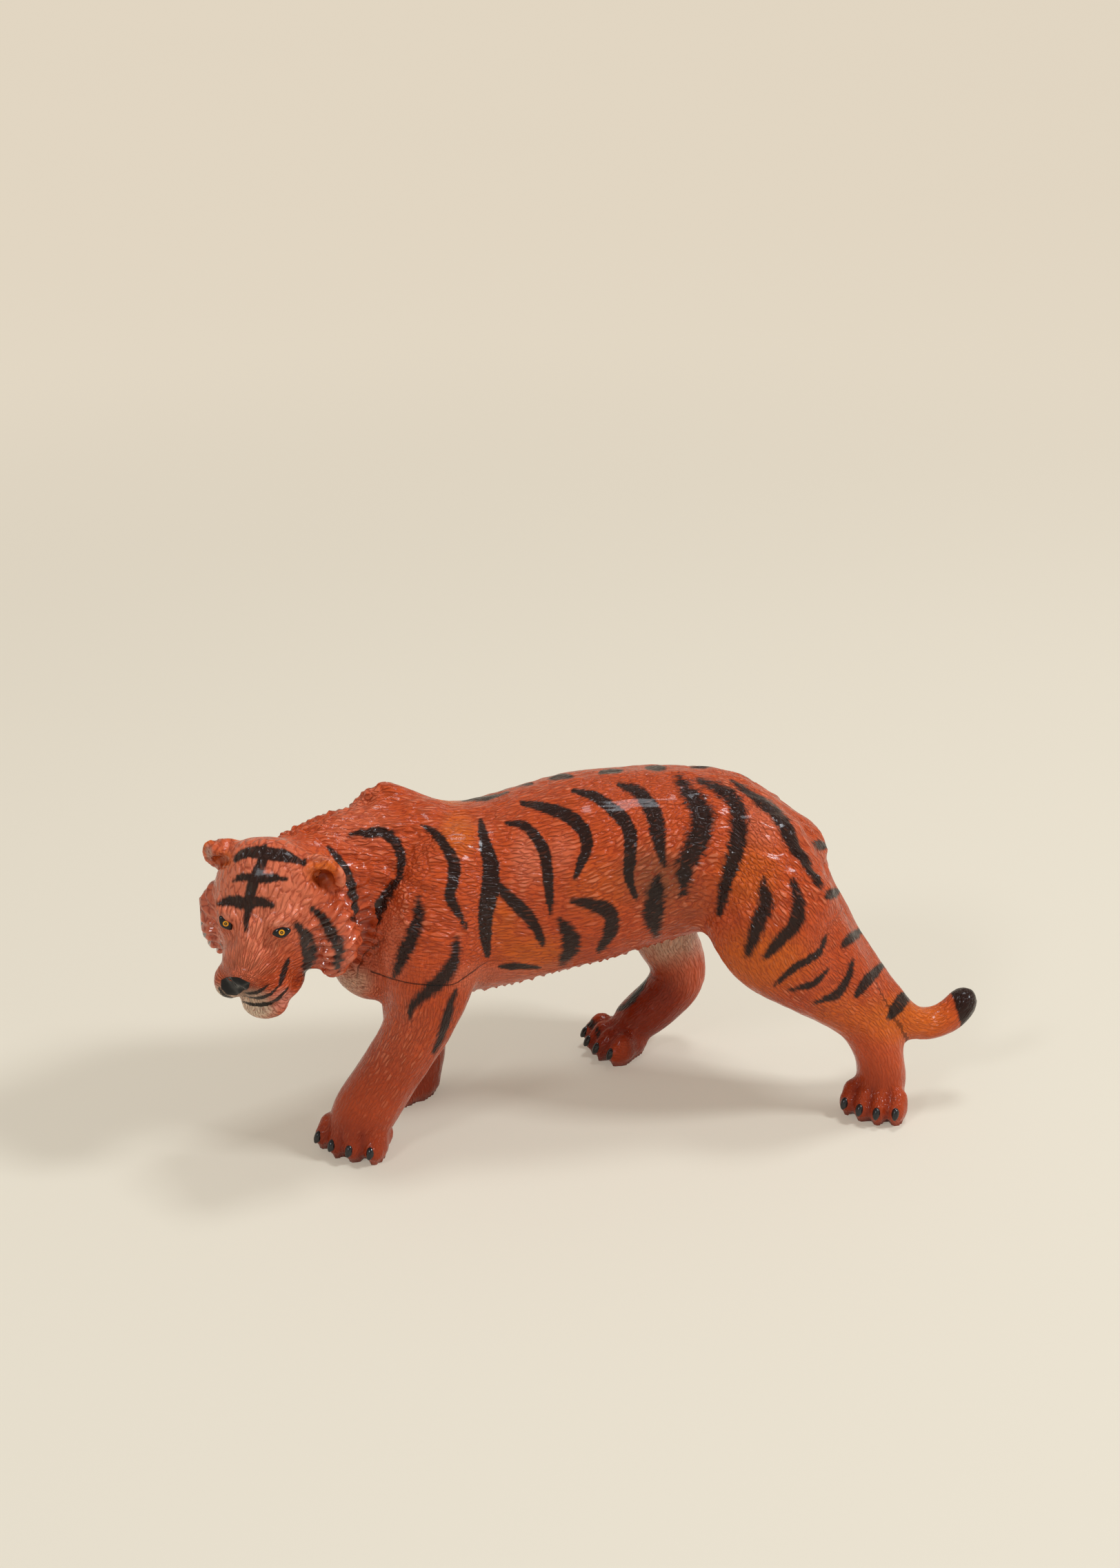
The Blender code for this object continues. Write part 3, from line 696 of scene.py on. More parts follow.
def new_object(name, bm):
    """An object with a mesh made from the bmesh, still in millimetres."""
    mesh = bpy.data.meshes.new(name)
    bm.to_mesh(mesh)
    bm.free()
    obj = bpy.data.objects.new(name, mesh)
    bpy.context.scene.collection.objects.link(obj)
    return obj


def fuse(obj, voxel, smoothing):
    """One skin around all of the object's bodies, then softened."""
    remesh = obj.modifiers.new("skin", "REMESH")
    remesh.mode = "VOXEL"
    remesh.voxel_size = voxel
    soften = obj.modifiers.new("soften", "SMOOTH")
    soften.factor = 0.5
    soften.iterations = smoothing
    graph = bpy.context.evaluated_depsgraph_get()
    mesh = bpy.data.meshes.new_from_object(obj.evaluated_get(graph))
    obj.modifiers.clear()
    obj.data = mesh


def vertex_array(mesh, name="co"):
    """The vertices' places or normals as rows of three numbers."""
    values = np.empty(len(mesh.vertices) * 3, np.float32)
    if name == "normal":
        mesh.vertex_normals.foreach_get("vector", values)
    else:
        mesh.vertices.foreach_get(name, values)
    return values.reshape(-1, 3).astype(float)


def set_places(mesh, places):
    """Moves every vertex to its row of the array."""
    mesh.vertices.foreach_set("co", places.astype(np.float32).ravel())
    mesh.update()


def ramp(values, low, high):
    """A soft step from 0 at low to 1 at high."""
    t = np.clip((values - low) / (high - low), 0, 1)
    return t * t * (3 - 2 * t)


def sculpt_form(sizes):
    """The whole tiger as one skin, with the head's faces split once more for its finer carving."""
    bm = bmesh.new()
    add_trunk(bm)
    add_limbs(bm)
    add_muscles(bm)
    add_skull(bm)
    form = new_object("form", bm)
    fuse(form, FORM_GRID, FORM_ROUNDS)
    bm = bmesh.new()
    bm.from_mesh(form.data)
    bpy.data.objects.remove(form)
    add_face(bm)
    add_belly_fringe(bm)
    for ankle, heading, share in PAWS.values():
        add_paw(bm, ankle, heading, share)
    form = new_object("painted_skin", bm)
    fuse(form, sizes.skin_voxel, SKIN_ROUNDS)
    bm = bmesh.new()
    bm.from_mesh(form.data)
    keep_largest_body(bm)
    refine_head(bm)
    bm.to_mesh(form.data)
    bm.free()
    return form


def keep_largest_body(bm):
    """Removes inner shells, which the fused bodies can leave between them."""
    bodies = []
    left = set(bm.verts)
    while left:
        body = {left.pop()}
        edge = list(body)
        while edge:
            vert = edge.pop()
            for link in vert.link_edges:
                other = link.other_vert(vert)
                if other not in body:
                    body.add(other)
                    edge.append(other)
        left -= body
        bodies.append(body)
    bodies.sort(key=len)
    for body in bodies[:-1]:
        bmesh.ops.delete(bm, geom=list(body), context="VERTS")


def refine_head(bm):
    """Halves the grid over the head and rounds its vertices."""
    middle = Vector(HEAD_PLACE) + head_frame().to_3x3() @ Vector(HEAD_MIDDLE)
    near = [vert for vert in bm.verts if (vert.co - middle).length < HEAD_REACH]
    inside = set(near)
    edges = [edge for edge in bm.edges if edge.verts[0] in inside and edge.verts[1] in inside]
    made = bmesh.ops.subdivide_edges(bm, edges=edges, cuts=1, use_grid_fill=True)
    new = {item for item in made["geom_inner"] if isinstance(item, bmesh.types.BMVert)}
    verts = [vert for vert in new | inside if vert.is_valid]
    for _ in range(3):
        bmesh.ops.smooth_vert(bm, verts=verts, factor=0.5, use_axis_x=True, use_axis_y=True, use_axis_z=True)


class Path:
    """A limb's centre line with its own axes, to which points of the skin can be referred."""

    def __init__(self, rows):
        numbered = [(*row, number) for number, row in enumerate(rows)]
        path = np.array(smooth_rows(numbered, 2.0))
        self.place = path[:, :3]
        self.depth = path[:, 3]
        self.breadth = path[:, 4]
        self.row = path[:, 5]
        ahead = np.gradient(self.place, axis=0)
        self.ahead = ahead / np.linalg.norm(ahead, axis=1)[:, None]
        side = np.array((0, 1, 0)) - self.ahead * self.ahead[:, 1:2]
        self.side = side / np.linalg.norm(side, axis=1)[:, None]
        self.up = np.cross(self.ahead, self.side)
        steps = np.linalg.norm(np.diff(self.place, axis=0), axis=1)
        self.run = np.concatenate([[0], np.cumsum(steps)])

    def refer(self, points):
        """Each point's nearest row, its offsets along the limb's axes and its share of the radius."""
        nearest = np.zeros(len(points), int)
        for start in range(0, len(points), 20000):
            block = points[start : start + 20000]
            gaps = ((block[:, None, :] - self.place[None]) ** 2).sum(2)
            nearest[start : start + 20000] = gaps.argmin(1)
        offset = points - self.place[nearest]
        along = (offset * self.ahead[nearest]).sum(1)
        up = (offset * self.up[nearest]).sum(1)
        side = (offset * self.side[nearest]).sum(1)
        radius = np.hypot(up / self.depth[nearest], side / self.breadth[nearest])
        return nearest, along, up, side, radius


def camera_axes():
    """The camera's directions ahead, to the right and up."""
    level = math.cos(CAMERA_TILT)
    sine, cosine = math.sin(CAMERA_HEADING), math.cos(CAMERA_HEADING)
    ahead = np.array((sine * level, cosine * level, math.sin(CAMERA_TILT)))
    right = np.array((cosine, -sine, 0))
    return ahead, right, np.cross(right, ahead)


def project(points):
    """The pixel of each point in the reference picture."""
    ahead, right, up = camera_axes()
    reach = points - CAMERA_PLACE
    depth = reach @ ahead
    across = PICTURE[0] / 2 + PIXEL_SCALE * (reach @ right) / depth
    down = PICTURE[1] / 2 - PIXEL_SCALE * (reach @ up) / depth
    return np.stack([across, down], 1)


def smooth_line(line):
    """Points close together along a curve through the line's points, in pixels."""
    return np.array(smooth_rows([(x, y, 0) for x, y in line], 7.0))[:, :2]


def segment_gap(pixels, start, end):
    """The distance of each pixel from a straight piece, and how far along it that is, 0 to 1."""
    reach = end - start
    t = np.clip(((pixels - start) @ reach) / (reach @ reach), 0, 1)
    return np.linalg.norm(pixels - start - t[:, None] * reach, axis=1), t


def line_gap(pixels, line):
    """The distance of each pixel from a line through points, and how far along the line that is, 0 to 1."""
    line = smooth_line(line)
    steps = np.linalg.norm(np.diff(line, axis=0), axis=1)
    run = np.concatenate([[0], np.cumsum(steps)])
    best = np.full(len(pixels), 1e9)
    share = np.zeros(len(pixels))
    for number, (start, end) in enumerate(zip(line, line[1:])):
        gap, t = segment_gap(pixels, start, end)
        closer = gap < best
        best[closer] = gap[closer]
        share[closer] = (run[number] + t[closer] * steps[number]) / run[-1]
    return best, share


def line_side(pixels, line):
    """The signed distance of each pixel from a line through points, and how far along it that is."""
    gap, share = line_gap(pixels, line)
    line = smooth_line(line)
    reach = np.gradient(line, axis=0)
    nearest = np.clip(np.round(share * (len(line) - 1)).astype(int), 0, len(line) - 1)
    off = pixels - line[nearest]
    return gap * np.sign(reach[nearest, 0] * off[:, 1] - reach[nearest, 1] * off[:, 0]), share


def stripe_depth(pixels, stripes):
    """How far inside the nearest stripe each pixel is, in widths of its soft edge, below zero outside."""
    depth = np.full(len(pixels), -9.0)
    for half, soft, line in stripes.values():
        gap, share = line_gap(pixels, line)
        taper = 0.12 + 0.88 * np.clip(np.sin(math.pi * (0.04 + 0.92 * share)), 0, 1) ** 0.7
        depth = np.maximum(depth, (STRIPE_SWELL * half * taper - gap) / soft)
    return depth


def area_depth(pixels, corners):
    """How far inside a many-sided area each pixel is, below zero outside."""
    corners = np.array(corners, float)
    best = np.full(len(pixels), 1e9)
    inside = np.zeros(len(pixels), bool)
    for start, end in zip(corners, np.roll(corners, -1, axis=0)):
        gap, _ = segment_gap(pixels, start, end)
        best = np.minimum(best, gap)
        crosses = (start[1] > pixels[:, 1]) != (end[1] > pixels[:, 1])
        rise = np.where(crosses, (pixels[:, 1] - start[1]) / (end[1] - start[1] + 1e-9), 0)
        inside ^= crosses & (pixels[:, 0] < start[0] + rise * (end[0] - start[0]))
    return np.where(inside, best, -best)


class Skin:
    """What the carving and the paint need to know about every vertex of the skin."""

    def __init__(self, mesh):
        self.mesh = mesh
        self.co = vertex_array(mesh)
        self.normal = vertex_array(mesh, "normal")
        self.local = (self.co - np.array(HEAD_PLACE)) @ np.array(head_frame().to_3x3())
        self.find_limbs()
        self.find_head()
        self.find_pixels()

    def find_limbs(self):
        """Which limb each vertex belongs to, and its place along a straightened limb."""
        paths = {name: Path(rows) for name, rows in {**LIMBS, "tail": tail_rows()}.items()}
        count = len(self.co)
        self.limb = np.zeros(count)
        self.coat_limb = self.co.copy()
        self.far = np.zeros(count)
        self.twin = self.co * np.array((1, -1, 1))
        for number, (name, path) in enumerate(paths.items()):
            nearest, along, up, side, radius = path.refer(self.co)
            begins = (1.6, 4.0) if name != "tail" else (1.2, 2.5)
            share = ramp(path.row[nearest], *begins) * (1 - ramp(radius, 1.25, 1.7))
            take = share > self.limb
            run = path.run[nearest] + along
            straight = np.stack([run + 300 * (number + 1), up, side], 1)
            self.coat_limb[take] = straight[take]
            self.limb[take] = share[take]
            if name.endswith("right"):
                lower = ramp(path.row[nearest], 1.2, 2.6) * (1 - ramp(radius, 1.25, 1.7))
                self.far = np.maximum(self.far, lower)
                other = paths[name.replace("right", "left")]
                match = np.abs(other.row[None] - path.row[nearest[take]][:, None]).argmin(1)
                twin = other.place[match] + other.ahead[match] * along[take][:, None]
                twin += other.up[match] * up[take][:, None] - other.side[match] * side[take][:, None]
                blend = share[take][:, None]
                self.twin[take] = self.twin[take] * (1 - blend) + twin * blend

    def find_head(self):
        """How much of the head each vertex is, and its place on rays from the nose."""
        reach = np.linalg.norm(self.local - np.array(HEAD_MIDDLE), axis=1)
        self.head = (1 - ramp(reach, 31, 40)) * ramp(self.local[:, 1], -24, -12)
        ray = self.local - np.array((0, 24, -11))
        run = np.linalg.norm(ray, axis=1)
        spread = ray * (18 / (run + 2))[:, None]
        straight = np.stack([run, spread[:, 0], spread[:, 2]], 1)
        take = self.head > self.limb
        self.coat_limb[take] = straight[take] + np.array((1800, 0, 0))
        self.limb = np.maximum(self.limb, self.head)

    def find_pixels(self):
        """The pixel where each vertex, or its twin on the near side, shows."""
        toward = CAMERA_PLACE - self.co
        facing = (toward * self.normal).sum(1) / np.linalg.norm(toward, axis=1)
        hidden_leg = (self.far > 0.3) & (facing < 0.05)
        hidden_trunk = (self.co[:, 1] > 0) & (self.far <= 0.3) & (self.head < 0.5)
        hidden = hidden_leg | hidden_trunk
        source = np.where(hidden[:, None], self.twin, self.co)
        turned = (self.head >= 0.5) & (self.local[:, 0] < -2) & (facing < 0.08)
        flipped = self.local * np.array((-1, 1, 1)) @ np.array(head_frame().to_3x3()).T + np.array(HEAD_PLACE)
        source = np.where(turned[:, None], flipped, source)
        self.pixel = project(source)
        self.shown_far = np.where(hidden, 0.0, self.far)
        self.beyond = np.where(hidden_trunk, ramp(facing, 0.0, 0.08), 0.0)
        self.own_pixel = project(self.co)


def carve(skin, sizes):
    """Moves the skin for clumps of fur, the face's fine forms and the joint line, in millimetres."""
    co, normal, local = skin.co, skin.normal, skin.local
    move = np.zeros(len(co))
    trunk_depth = 0.16 + 0.42 * ramp(-co[:, 0], 38, 70) * ramp(co[:, 2], 60, 90)
    trunk_depth += 0.25 * ramp(co[:, 0], 10, 45) * ramp(co[:, 2], 60, 80)
    limb_depth = 0.14 + 0.30 * skin.head * ramp(np.abs(local[:, 0]), 12, 24) * ramp(-local[:, 2], -14, 0)
    clump = np.array([noise.noise(Vector((x * 0.11, y * 0.42, z * 0.42))) for x, y, z in skin.coat_limb])
    sweep = np.array([noise.noise(Vector((x * 0.11 + 9, y * 0.38, (z + 0.42 * x) * 0.34))) for x, y, z in co])
    bare = np.clip(1 - skin.head * ramp(local[:, 1], 8, 16) * 0.7, 0, 1)
    clumps = clump * limb_depth * skin.limb + sweep * trunk_depth * (1 - skin.limb)
    move += sizes.clump_depth * clumps * CLUMP_HEIGHT * bare
    move += ruff_ridges(skin) + face_forms(skin) + fringe(skin) + toe_gaps(skin) * -CLEFT_DEPTH
    gap, _ = line_gap(skin.pixel, JOINT_LINE)
    near = (co[:, 1] < 0) & (skin.far < 0.3) & (skin.head < 0.5)
    move -= np.where(near, JOINT_DEPTH * (1 - ramp(gap, 1.0, 5.0)), 0)
    places = co + normal * move[:, None]
    places[:, 2] = np.where(places[:, 2] < SOLE_DEPTH, np.minimum(places[:, 2], 0.0), places[:, 2])
    low, high = (np.array(corner) / MM - TO_FRAME for corner in CAD_BOX)
    places = np.clip(places, low + 0.01, high - 0.01)
    set_places(skin.mesh, places)


def ruff_ridges(skin):
    """Raised locks that fan back over the cheeks and stand off at the ruff's edge."""
    left, forward, up = skin.local.T
    out = ramp(np.abs(left), 14, 20) * ramp(-up, -10, -3) * (1 - ramp(forward, 6, 12)) * skin.head
    spread = np.arctan2(up + 12, np.abs(left) + 6)
    lift = np.sin(spread * 52 + 0.8 * np.sin(forward * 0.6) + 1.2 * np.sin(np.abs(left) * 0.3))
    return out * (LOCK_HEIGHT * lift + 0.2 * np.abs(lift))


def fringe(skin):
    """Small teeth along the belly and coarse tufts on the nape."""
    x, y, z = skin.co.T
    bottom = np.interp(x, [row[0] for row in TRUNK], [row[2] for row in TRUNK])
    belly = (1 - ramp(z - bottom, 1, 6)) * (1 - ramp(np.abs(y + 3), 8, 15))
    belly *= ramp(x, -52, -44)
    belly *= 1 - ramp(x, 24, 32)
    teeth = np.clip(np.sin(x * 1.9 + 1.5 * np.sin(x * 0.37)), -0.3, 1) * TOOTH_HEIGHT
    nape = ramp(-x, 66, 78) * ramp(z, 92, 104) * (1 - skin.head)
    tufts = np.sin(x * 1.7 + 0.9 * np.sin(y * 0.5))
    tufts = tufts * np.sin(y * 1.3 + 0.8 * np.sin(x * 0.6 + z * 0.4)) * TUFT_HEIGHT
    return (belly * teeth + nape * tufts) * (1 - skin.limb * (1 - skin.head))


def mound(places, middle, spread, height):
    """A soft rise of the given height around a middle, at each of the places."""
    gap = sum(((axis - centre) / size) ** 2 for axis, centre, size in zip(places, middle, spread))
    return height * np.exp(-gap)


def face_forms(skin):
    """Eye sockets, nostrils, the cleft under the nose, the lips' parting and the ears' hollows."""
    left, forward, up = skin.local.T
    side = np.abs(left)
    move = np.zeros(len(side))
    for form in FACE_FORMS:
        move += mound((side, forward, up), *form)
    line = np.array(smooth_rows(LIP_LINE, 0.8))
    folded = np.stack([side, forward, up], 1)
    near = (skin.head > 0.5) & (forward > 4) & (up < -10)
    gap = np.full(len(side), 9.0)
    gap[near] = np.sqrt(((folded[near][:, None] - line[None]) ** 2).sum(2)).min(1)
    move -= LIP_DEPTH * (1 - ramp(gap, 0.4, 2.4))
    move += mound((left, forward, up), *LIP_FOLD)
    seen = (forward > -14) & (up > 4)
    for hollow in EAR_HOLLOWS.values():
        move += np.where(seen, mound(skin.pixel.T, *hollow), 0)
    gap, _ = line_gap(skin.pixel, EAR_RIM)
    move += np.where(seen, EAR_RIM_HEIGHT * (1 - ramp(gap, 1.5, 7)), 0)
    return move * skin.head


def toe_gaps(skin):
    """How near each vertex is to the clefts between a paw's toes, 0 to 1."""
    depth = np.zeros(len(skin.co))
    for ankle, heading, share in PAWS.values():
        own = (skin.co - np.array((*ankle, 0))) @ np.array(paw_axes(heading))
        front = ramp(own[:, 0], 1, 6) * (1 - ramp(own[:, 2], 11, 15))
        front = front * (own[:, 0] < 20) * (np.abs(own[:, 1]) < 18)
        for place in (-1, 0, 1):
            middle = place * PAW_WIDTH * share * TOE_PITCH * (1 + 0.012 * own[:, 0])
            depth = np.maximum(depth, front * np.exp(-(((own[:, 1] - middle) / 1.1) ** 2)))
    return depth


def sprayed_coat(skin, colours):
    """The sprayed base colour of every vertex, with painted shade near the ground and between the toes."""
    head = skin.head[:, None]
    far = skin.shown_far[:, None]
    coat = np.tile(np.array(colours.coat), (len(skin.pixel), 1))
    layers = ((BODY_SPRAY, (1 - head) * (1 - far)), (FAR_SPRAY, (1 - head) * far), (HEAD_SPRAY, head))
    for spray, share in layers:
        for (x, y), (rx, ry), shade, strength in spray.values():
            reach = np.hypot((skin.pixel[:, 0] - x) / rx, (skin.pixel[:, 1] - y) / ry)
            cover = strength * (1 - ramp(reach, 0.35, 1.25))[:, None] * share
            coat = coat * (1 - cover) + np.array(getattr(colours, shade)) * cover
    # Painted shade: darker towards the ground and in the clefts between the toes
    low = 0.35 * (1 - ramp(skin.co[:, 2], 4, 22)) + 0.6 * toe_gaps(skin)
    low = np.clip(low, 0, 0.85)[:, None]
    return coat * (1 - low) + np.array(colours.dark) * low


def striped(skin):
    """How far inside the nearest sprayed stripe every vertex is."""
    body = stripe_depth(skin.pixel, BODY_STRIPES)
    body = np.maximum(body, area_depth(skin.pixel, TAIL_TIP) / 3)
    away = stripe_depth(skin.pixel, FAR_STRIPES)
    face = stripe_depth(skin.pixel, HEAD_STRIPES)
    spine = stripe_depth(skin.own_pixel, SPINE_STRIPES)
    body = body * (1 - skin.beyond) + spine * skin.beyond
    stripe = body * (1 - skin.shown_far) + away * skin.shown_far
    return np.where(skin.head > 0.5, face, stripe)


def crisp_paint(skin):
    """How far inside the nose or an eye's rim every vertex is, in millimetres."""
    crisp = np.full(len(skin.pixel), -40.0)
    front = (skin.local[:, 1] > 6) & (skin.head > 0.5)
    for area in (NOSE_PAD, *EYE_RIMS):
        crisp = np.where(front, np.maximum(crisp, area_depth(skin.pixel, area)), crisp)
    return crisp / PIXELS_PER_MM


def paint(skin, colours):
    """Keeps the paint, its masks and the fur's directions as values on the vertices."""
    side, share = line_side(skin.own_pixel, JOINT_LINE)
    shown = (skin.co[:, 1] < 0) & (skin.far < 0.3) & (share > 0.002) & (share < 0.998)
    values = {
        "stripe": np.clip(striped(skin), -4, 4),
        "crisp": np.clip(crisp_paint(skin), -4, 4),
        "joint_gap": np.clip(side / PIXELS_PER_MM, -4, 4),
        "joint_shown": shown * ramp(1 - share, 0.0, 0.35) * (np.abs(side) < 12),
        "limb_share": skin.limb,
        "furred": 0.35 + 0.65 * np.maximum(skin.head, ramp(skin.co[:, 2], 10, 60)),
        "ruff": skin.head * ramp(np.abs(skin.local[:, 0]), 12, 20) * ramp(-skin.local[:, 2], -12, 0),
    }
    for name, value in values.items():
        write_value(skin.mesh, name, value)
    write_vector(skin.mesh, "coat_trunk", trunk_coat(skin.co))
    write_vector(skin.mesh, "coat_limb", skin.coat_limb)
    coat = sprayed_coat(skin, colours)
    coat = np.concatenate([coat, np.ones((len(coat), 1))], 1)
    layer = skin.mesh.attributes.new("paint", "FLOAT_COLOR", "POINT")
    layer.data.foreach_set("color", coat.astype(np.float32).ravel())


def trunk_coat(co):
    """Places on the trunk carried along the fur, nearly level at the ribs and steep at the haunch."""
    x, y, z = co.T
    steps = np.arange(-150, 151, 2.0)
    slant = np.radians(8 + 42 * ramp(steps, -45, 45))
    fall = np.concatenate([[0], np.cumsum(np.tan(slant[:-1]) * 2.0)])
    run = np.concatenate([[0], np.cumsum(2.0 / np.cos(slant[:-1]))])
    along = np.interp(x, steps, run)
    across = (z + np.interp(x, steps, fall)) * np.cos(np.interp(x, steps, slant))
    return np.stack([along, across, y], 1)


def write_value(mesh, name, values):
    """Keeps one number for each vertex under the name."""
    mesh.attributes.new(name, "FLOAT", "POINT").data.foreach_set("value", values.astype(np.float32))


def write_vector(mesh, name, rows):
    """Keeps three numbers for each vertex under the name."""
    layer = mesh.attributes.new(name, "FLOAT_VECTOR", "POINT")
    layer.data.foreach_set("vector", rows.astype(np.float32).ravel())


def node(tree, kind, **settings):
    """A shader node with its properties and inputs set by name."""
    made = tree.nodes.new(kind)
    for name, value in settings.items():
        if hasattr(made, name):
            setattr(made, name, value)
        else:
            made.inputs[name.replace("_", " ")].default_value = value
    return made


def plug(tree, value, socket):
    """Feeds a socket with another socket, a colour or a number."""
    if isinstance(value, bpy.types.NodeSocket):
        tree.links.new(value, socket)
    elif socket.type == "RGBA":
        socket.default_value = (*value, 1.0)
    else:
        socket.default_value = value


def attribute(tree, name, output="Fac"):
    """A value that the carving and the paint left on the vertices."""
    return node(tree, "ShaderNodeAttribute", attribute_name=name).outputs[output]


def object_noise(tree, **settings):
    """A noise over the object's own places."""
    made = node(tree, "ShaderNodeTexNoise", **settings)
    plug(tree, node(tree, "ShaderNodeTexCoord").outputs["Object"], made.inputs["Vector"])
    return made.outputs["Fac"]


def mix_value(tree, share, first, second):
    """A blend of two numbers by a third."""
    made = node(tree, "ShaderNodeMix", data_type="FLOAT")
    for name, value in (("Factor", share), ("A", first), ("B", second)):
        plug(tree, value, made.inputs[name])
    return made.outputs["Result"]


def mix_colour(tree, share, first, second):
    """A blend of two colours, either of which may be a socket or plain numbers."""
    made = node(tree, "ShaderNodeMix", data_type="RGBA")
    plug(tree, share, made.inputs["Factor"])
    ends = [item for item in made.inputs if item.type == "RGBA"]
    for value, socket in zip((first, second), ends):
        plug(tree, value, socket)
    return [item for item in made.outputs if item.type == "RGBA"][0]


def maths(tree, operation, *values):
    """One sum on numbers or sockets."""
    made = node(tree, "ShaderNodeMath", operation=operation)
    for value, socket in zip(values, made.inputs):
        plug(tree, value, socket)
    return made.outputs[0]


def vector_maths(tree, operation, first, second, slot=1):
    """One sum on vectors, whose second value goes in at the slot."""
    made = node(tree, "ShaderNodeVectorMath", operation=operation)
    plug(tree, first, made.inputs[0])
    plug(tree, second, made.inputs[slot])
    return made.outputs[0]


def step_value(tree, value, low, high, bottom=0.0, top=1.0):
    """A soft step of a socket's value."""
    made = node(
        tree,
        "ShaderNodeMapRange",
        interpolation_type="SMOOTHSTEP",
        From_Min=low,
        From_Max=high,
        To_Min=bottom,
        To_Max=top,
    )
    plug(tree, value, made.inputs["Value"])
    return made.outputs["Result"]


def bumped(tree, height, surface, **settings):
    """Raises the surface by a height."""
    bump = node(tree, "ShaderNodeBump", **settings)
    plug(tree, height, bump.inputs["Height"])
    plug(tree, bump.outputs["Normal"], surface["Normal"])


def arrange(tree):
    """Sets the nodes out in columns, each one left of the nodes that it feeds."""
    column = {made.name: 0 for made in tree.nodes}
    for _ in tree.nodes:
        for link in tree.links:
            after = column[link.to_node.name] + 1
            column[link.from_node.name] = max(column[link.from_node.name], after)
    filled = [0] * (len(tree.nodes) + 1)
    for made in tree.nodes:
        place = column[made.name]
        made.location = (-240 * place, -280 * filled[place])
        filled[place] += 1


def new_material(name):
    """A new material, its node tree and the inputs of its surface."""
    material = bpy.data.materials.new(name)
    material.use_nodes = True
    return material, material.node_tree, material.node_tree.nodes["Principled BSDF"].inputs


def fur_group():
    """Short carved strokes along the first axis of the vector: height, grooves and a ragged edge."""
    tree = bpy.data.node_groups.get("carved_strokes")
    if tree is not None:
        return tree
    tree = bpy.data.node_groups.new("carved_strokes", "ShaderNodeTree")
    face = tree.interface
    face.new_socket("Vector", in_out="INPUT", socket_type="NodeSocketVector")
    for name, value in (("Along", 0.2), ("Across", 0.9), ("Sway", 1.6)):
        face.new_socket(name, in_out="INPUT", socket_type="NodeSocketFloat").default_value = value
    for name in ("Height", "Groove", "Feather"):
        face.new_socket(name, in_out="OUTPUT", socket_type="NodeSocketFloat")
    given = node(tree, "NodeGroupInput").outputs
    put_out = node(tree, "NodeGroupOutput").inputs
    sway = node(tree, "ShaderNodeTexNoise", Scale=0.16, Detail=1.5)
    plug(tree, given["Vector"], sway.inputs["Vector"])
    centred = vector_maths(tree, "SUBTRACT", sway.outputs["Color"], (0.5, 0.5, 0.5))
    swing = vector_maths(tree, "SCALE", centred, given["Sway"], "Scale")
    moved = vector_maths(tree, "ADD", given["Vector"], swing)
    stretch = node(tree, "ShaderNodeCombineXYZ")
    for axis, size in (("X", "Along"), ("Y", "Across"), ("Z", "Across")):
        plug(tree, given[size], stretch.inputs[axis])
    drawn = vector_maths(tree, "MULTIPLY", moved, stretch.outputs[0])
    stroke = node(tree, "ShaderNodeTexVoronoi", Scale=1.0, Randomness=0.9)
    border = node(tree, "ShaderNodeTexVoronoi", feature="DISTANCE_TO_EDGE", Scale=1.0, Randomness=0.9)
    hair = node(tree, "ShaderNodeTexNoise", Scale=2.0, Detail=1.0, Roughness=0.5)
    for texture in (stroke, border, hair):
        plug(tree, drawn, texture.inputs["Vector"])
    hair = hair.outputs["Fac"]
    border = border.outputs["Distance"]
    tone = node(tree, "ShaderNodeSeparateColor")
    plug(tree, stroke.outputs["Color"], tone.inputs[0])
    lean = maths(tree, "MULTIPLY_ADD", tone.outputs[0], 0.5, step_value(tree, border, 0.0, 0.34))
    plug(tree, maths(tree, "MULTIPLY_ADD", hair, 0.7, lean), put_out["Height"])
    broken = step_value(tree, hair, 0.40, 0.56)
    plug(tree, maths(tree, "MULTIPLY", step_value(tree, border, 0.16, 0.02), broken), put_out["Groove"])
    torn = maths(tree, "MULTIPLY", hair, 0.7)
    plug(tree, maths(tree, "MULTIPLY_ADD", tone.outputs[1], 0.3, torn), put_out["Feather"])
    arrange(tree)
    return tree


def fur_values(tree, name, along, across):
    """The carved strokes along one of the skin's vector attributes."""
    fur = node(tree, "ShaderNodeGroup", node_tree=fur_group())
    fur.inputs["Along"].default_value = along
    fur.inputs["Across"].default_value = across
    plug(tree, attribute(tree, name, "Vector"), fur.inputs["Vector"])
    return fur.outputs


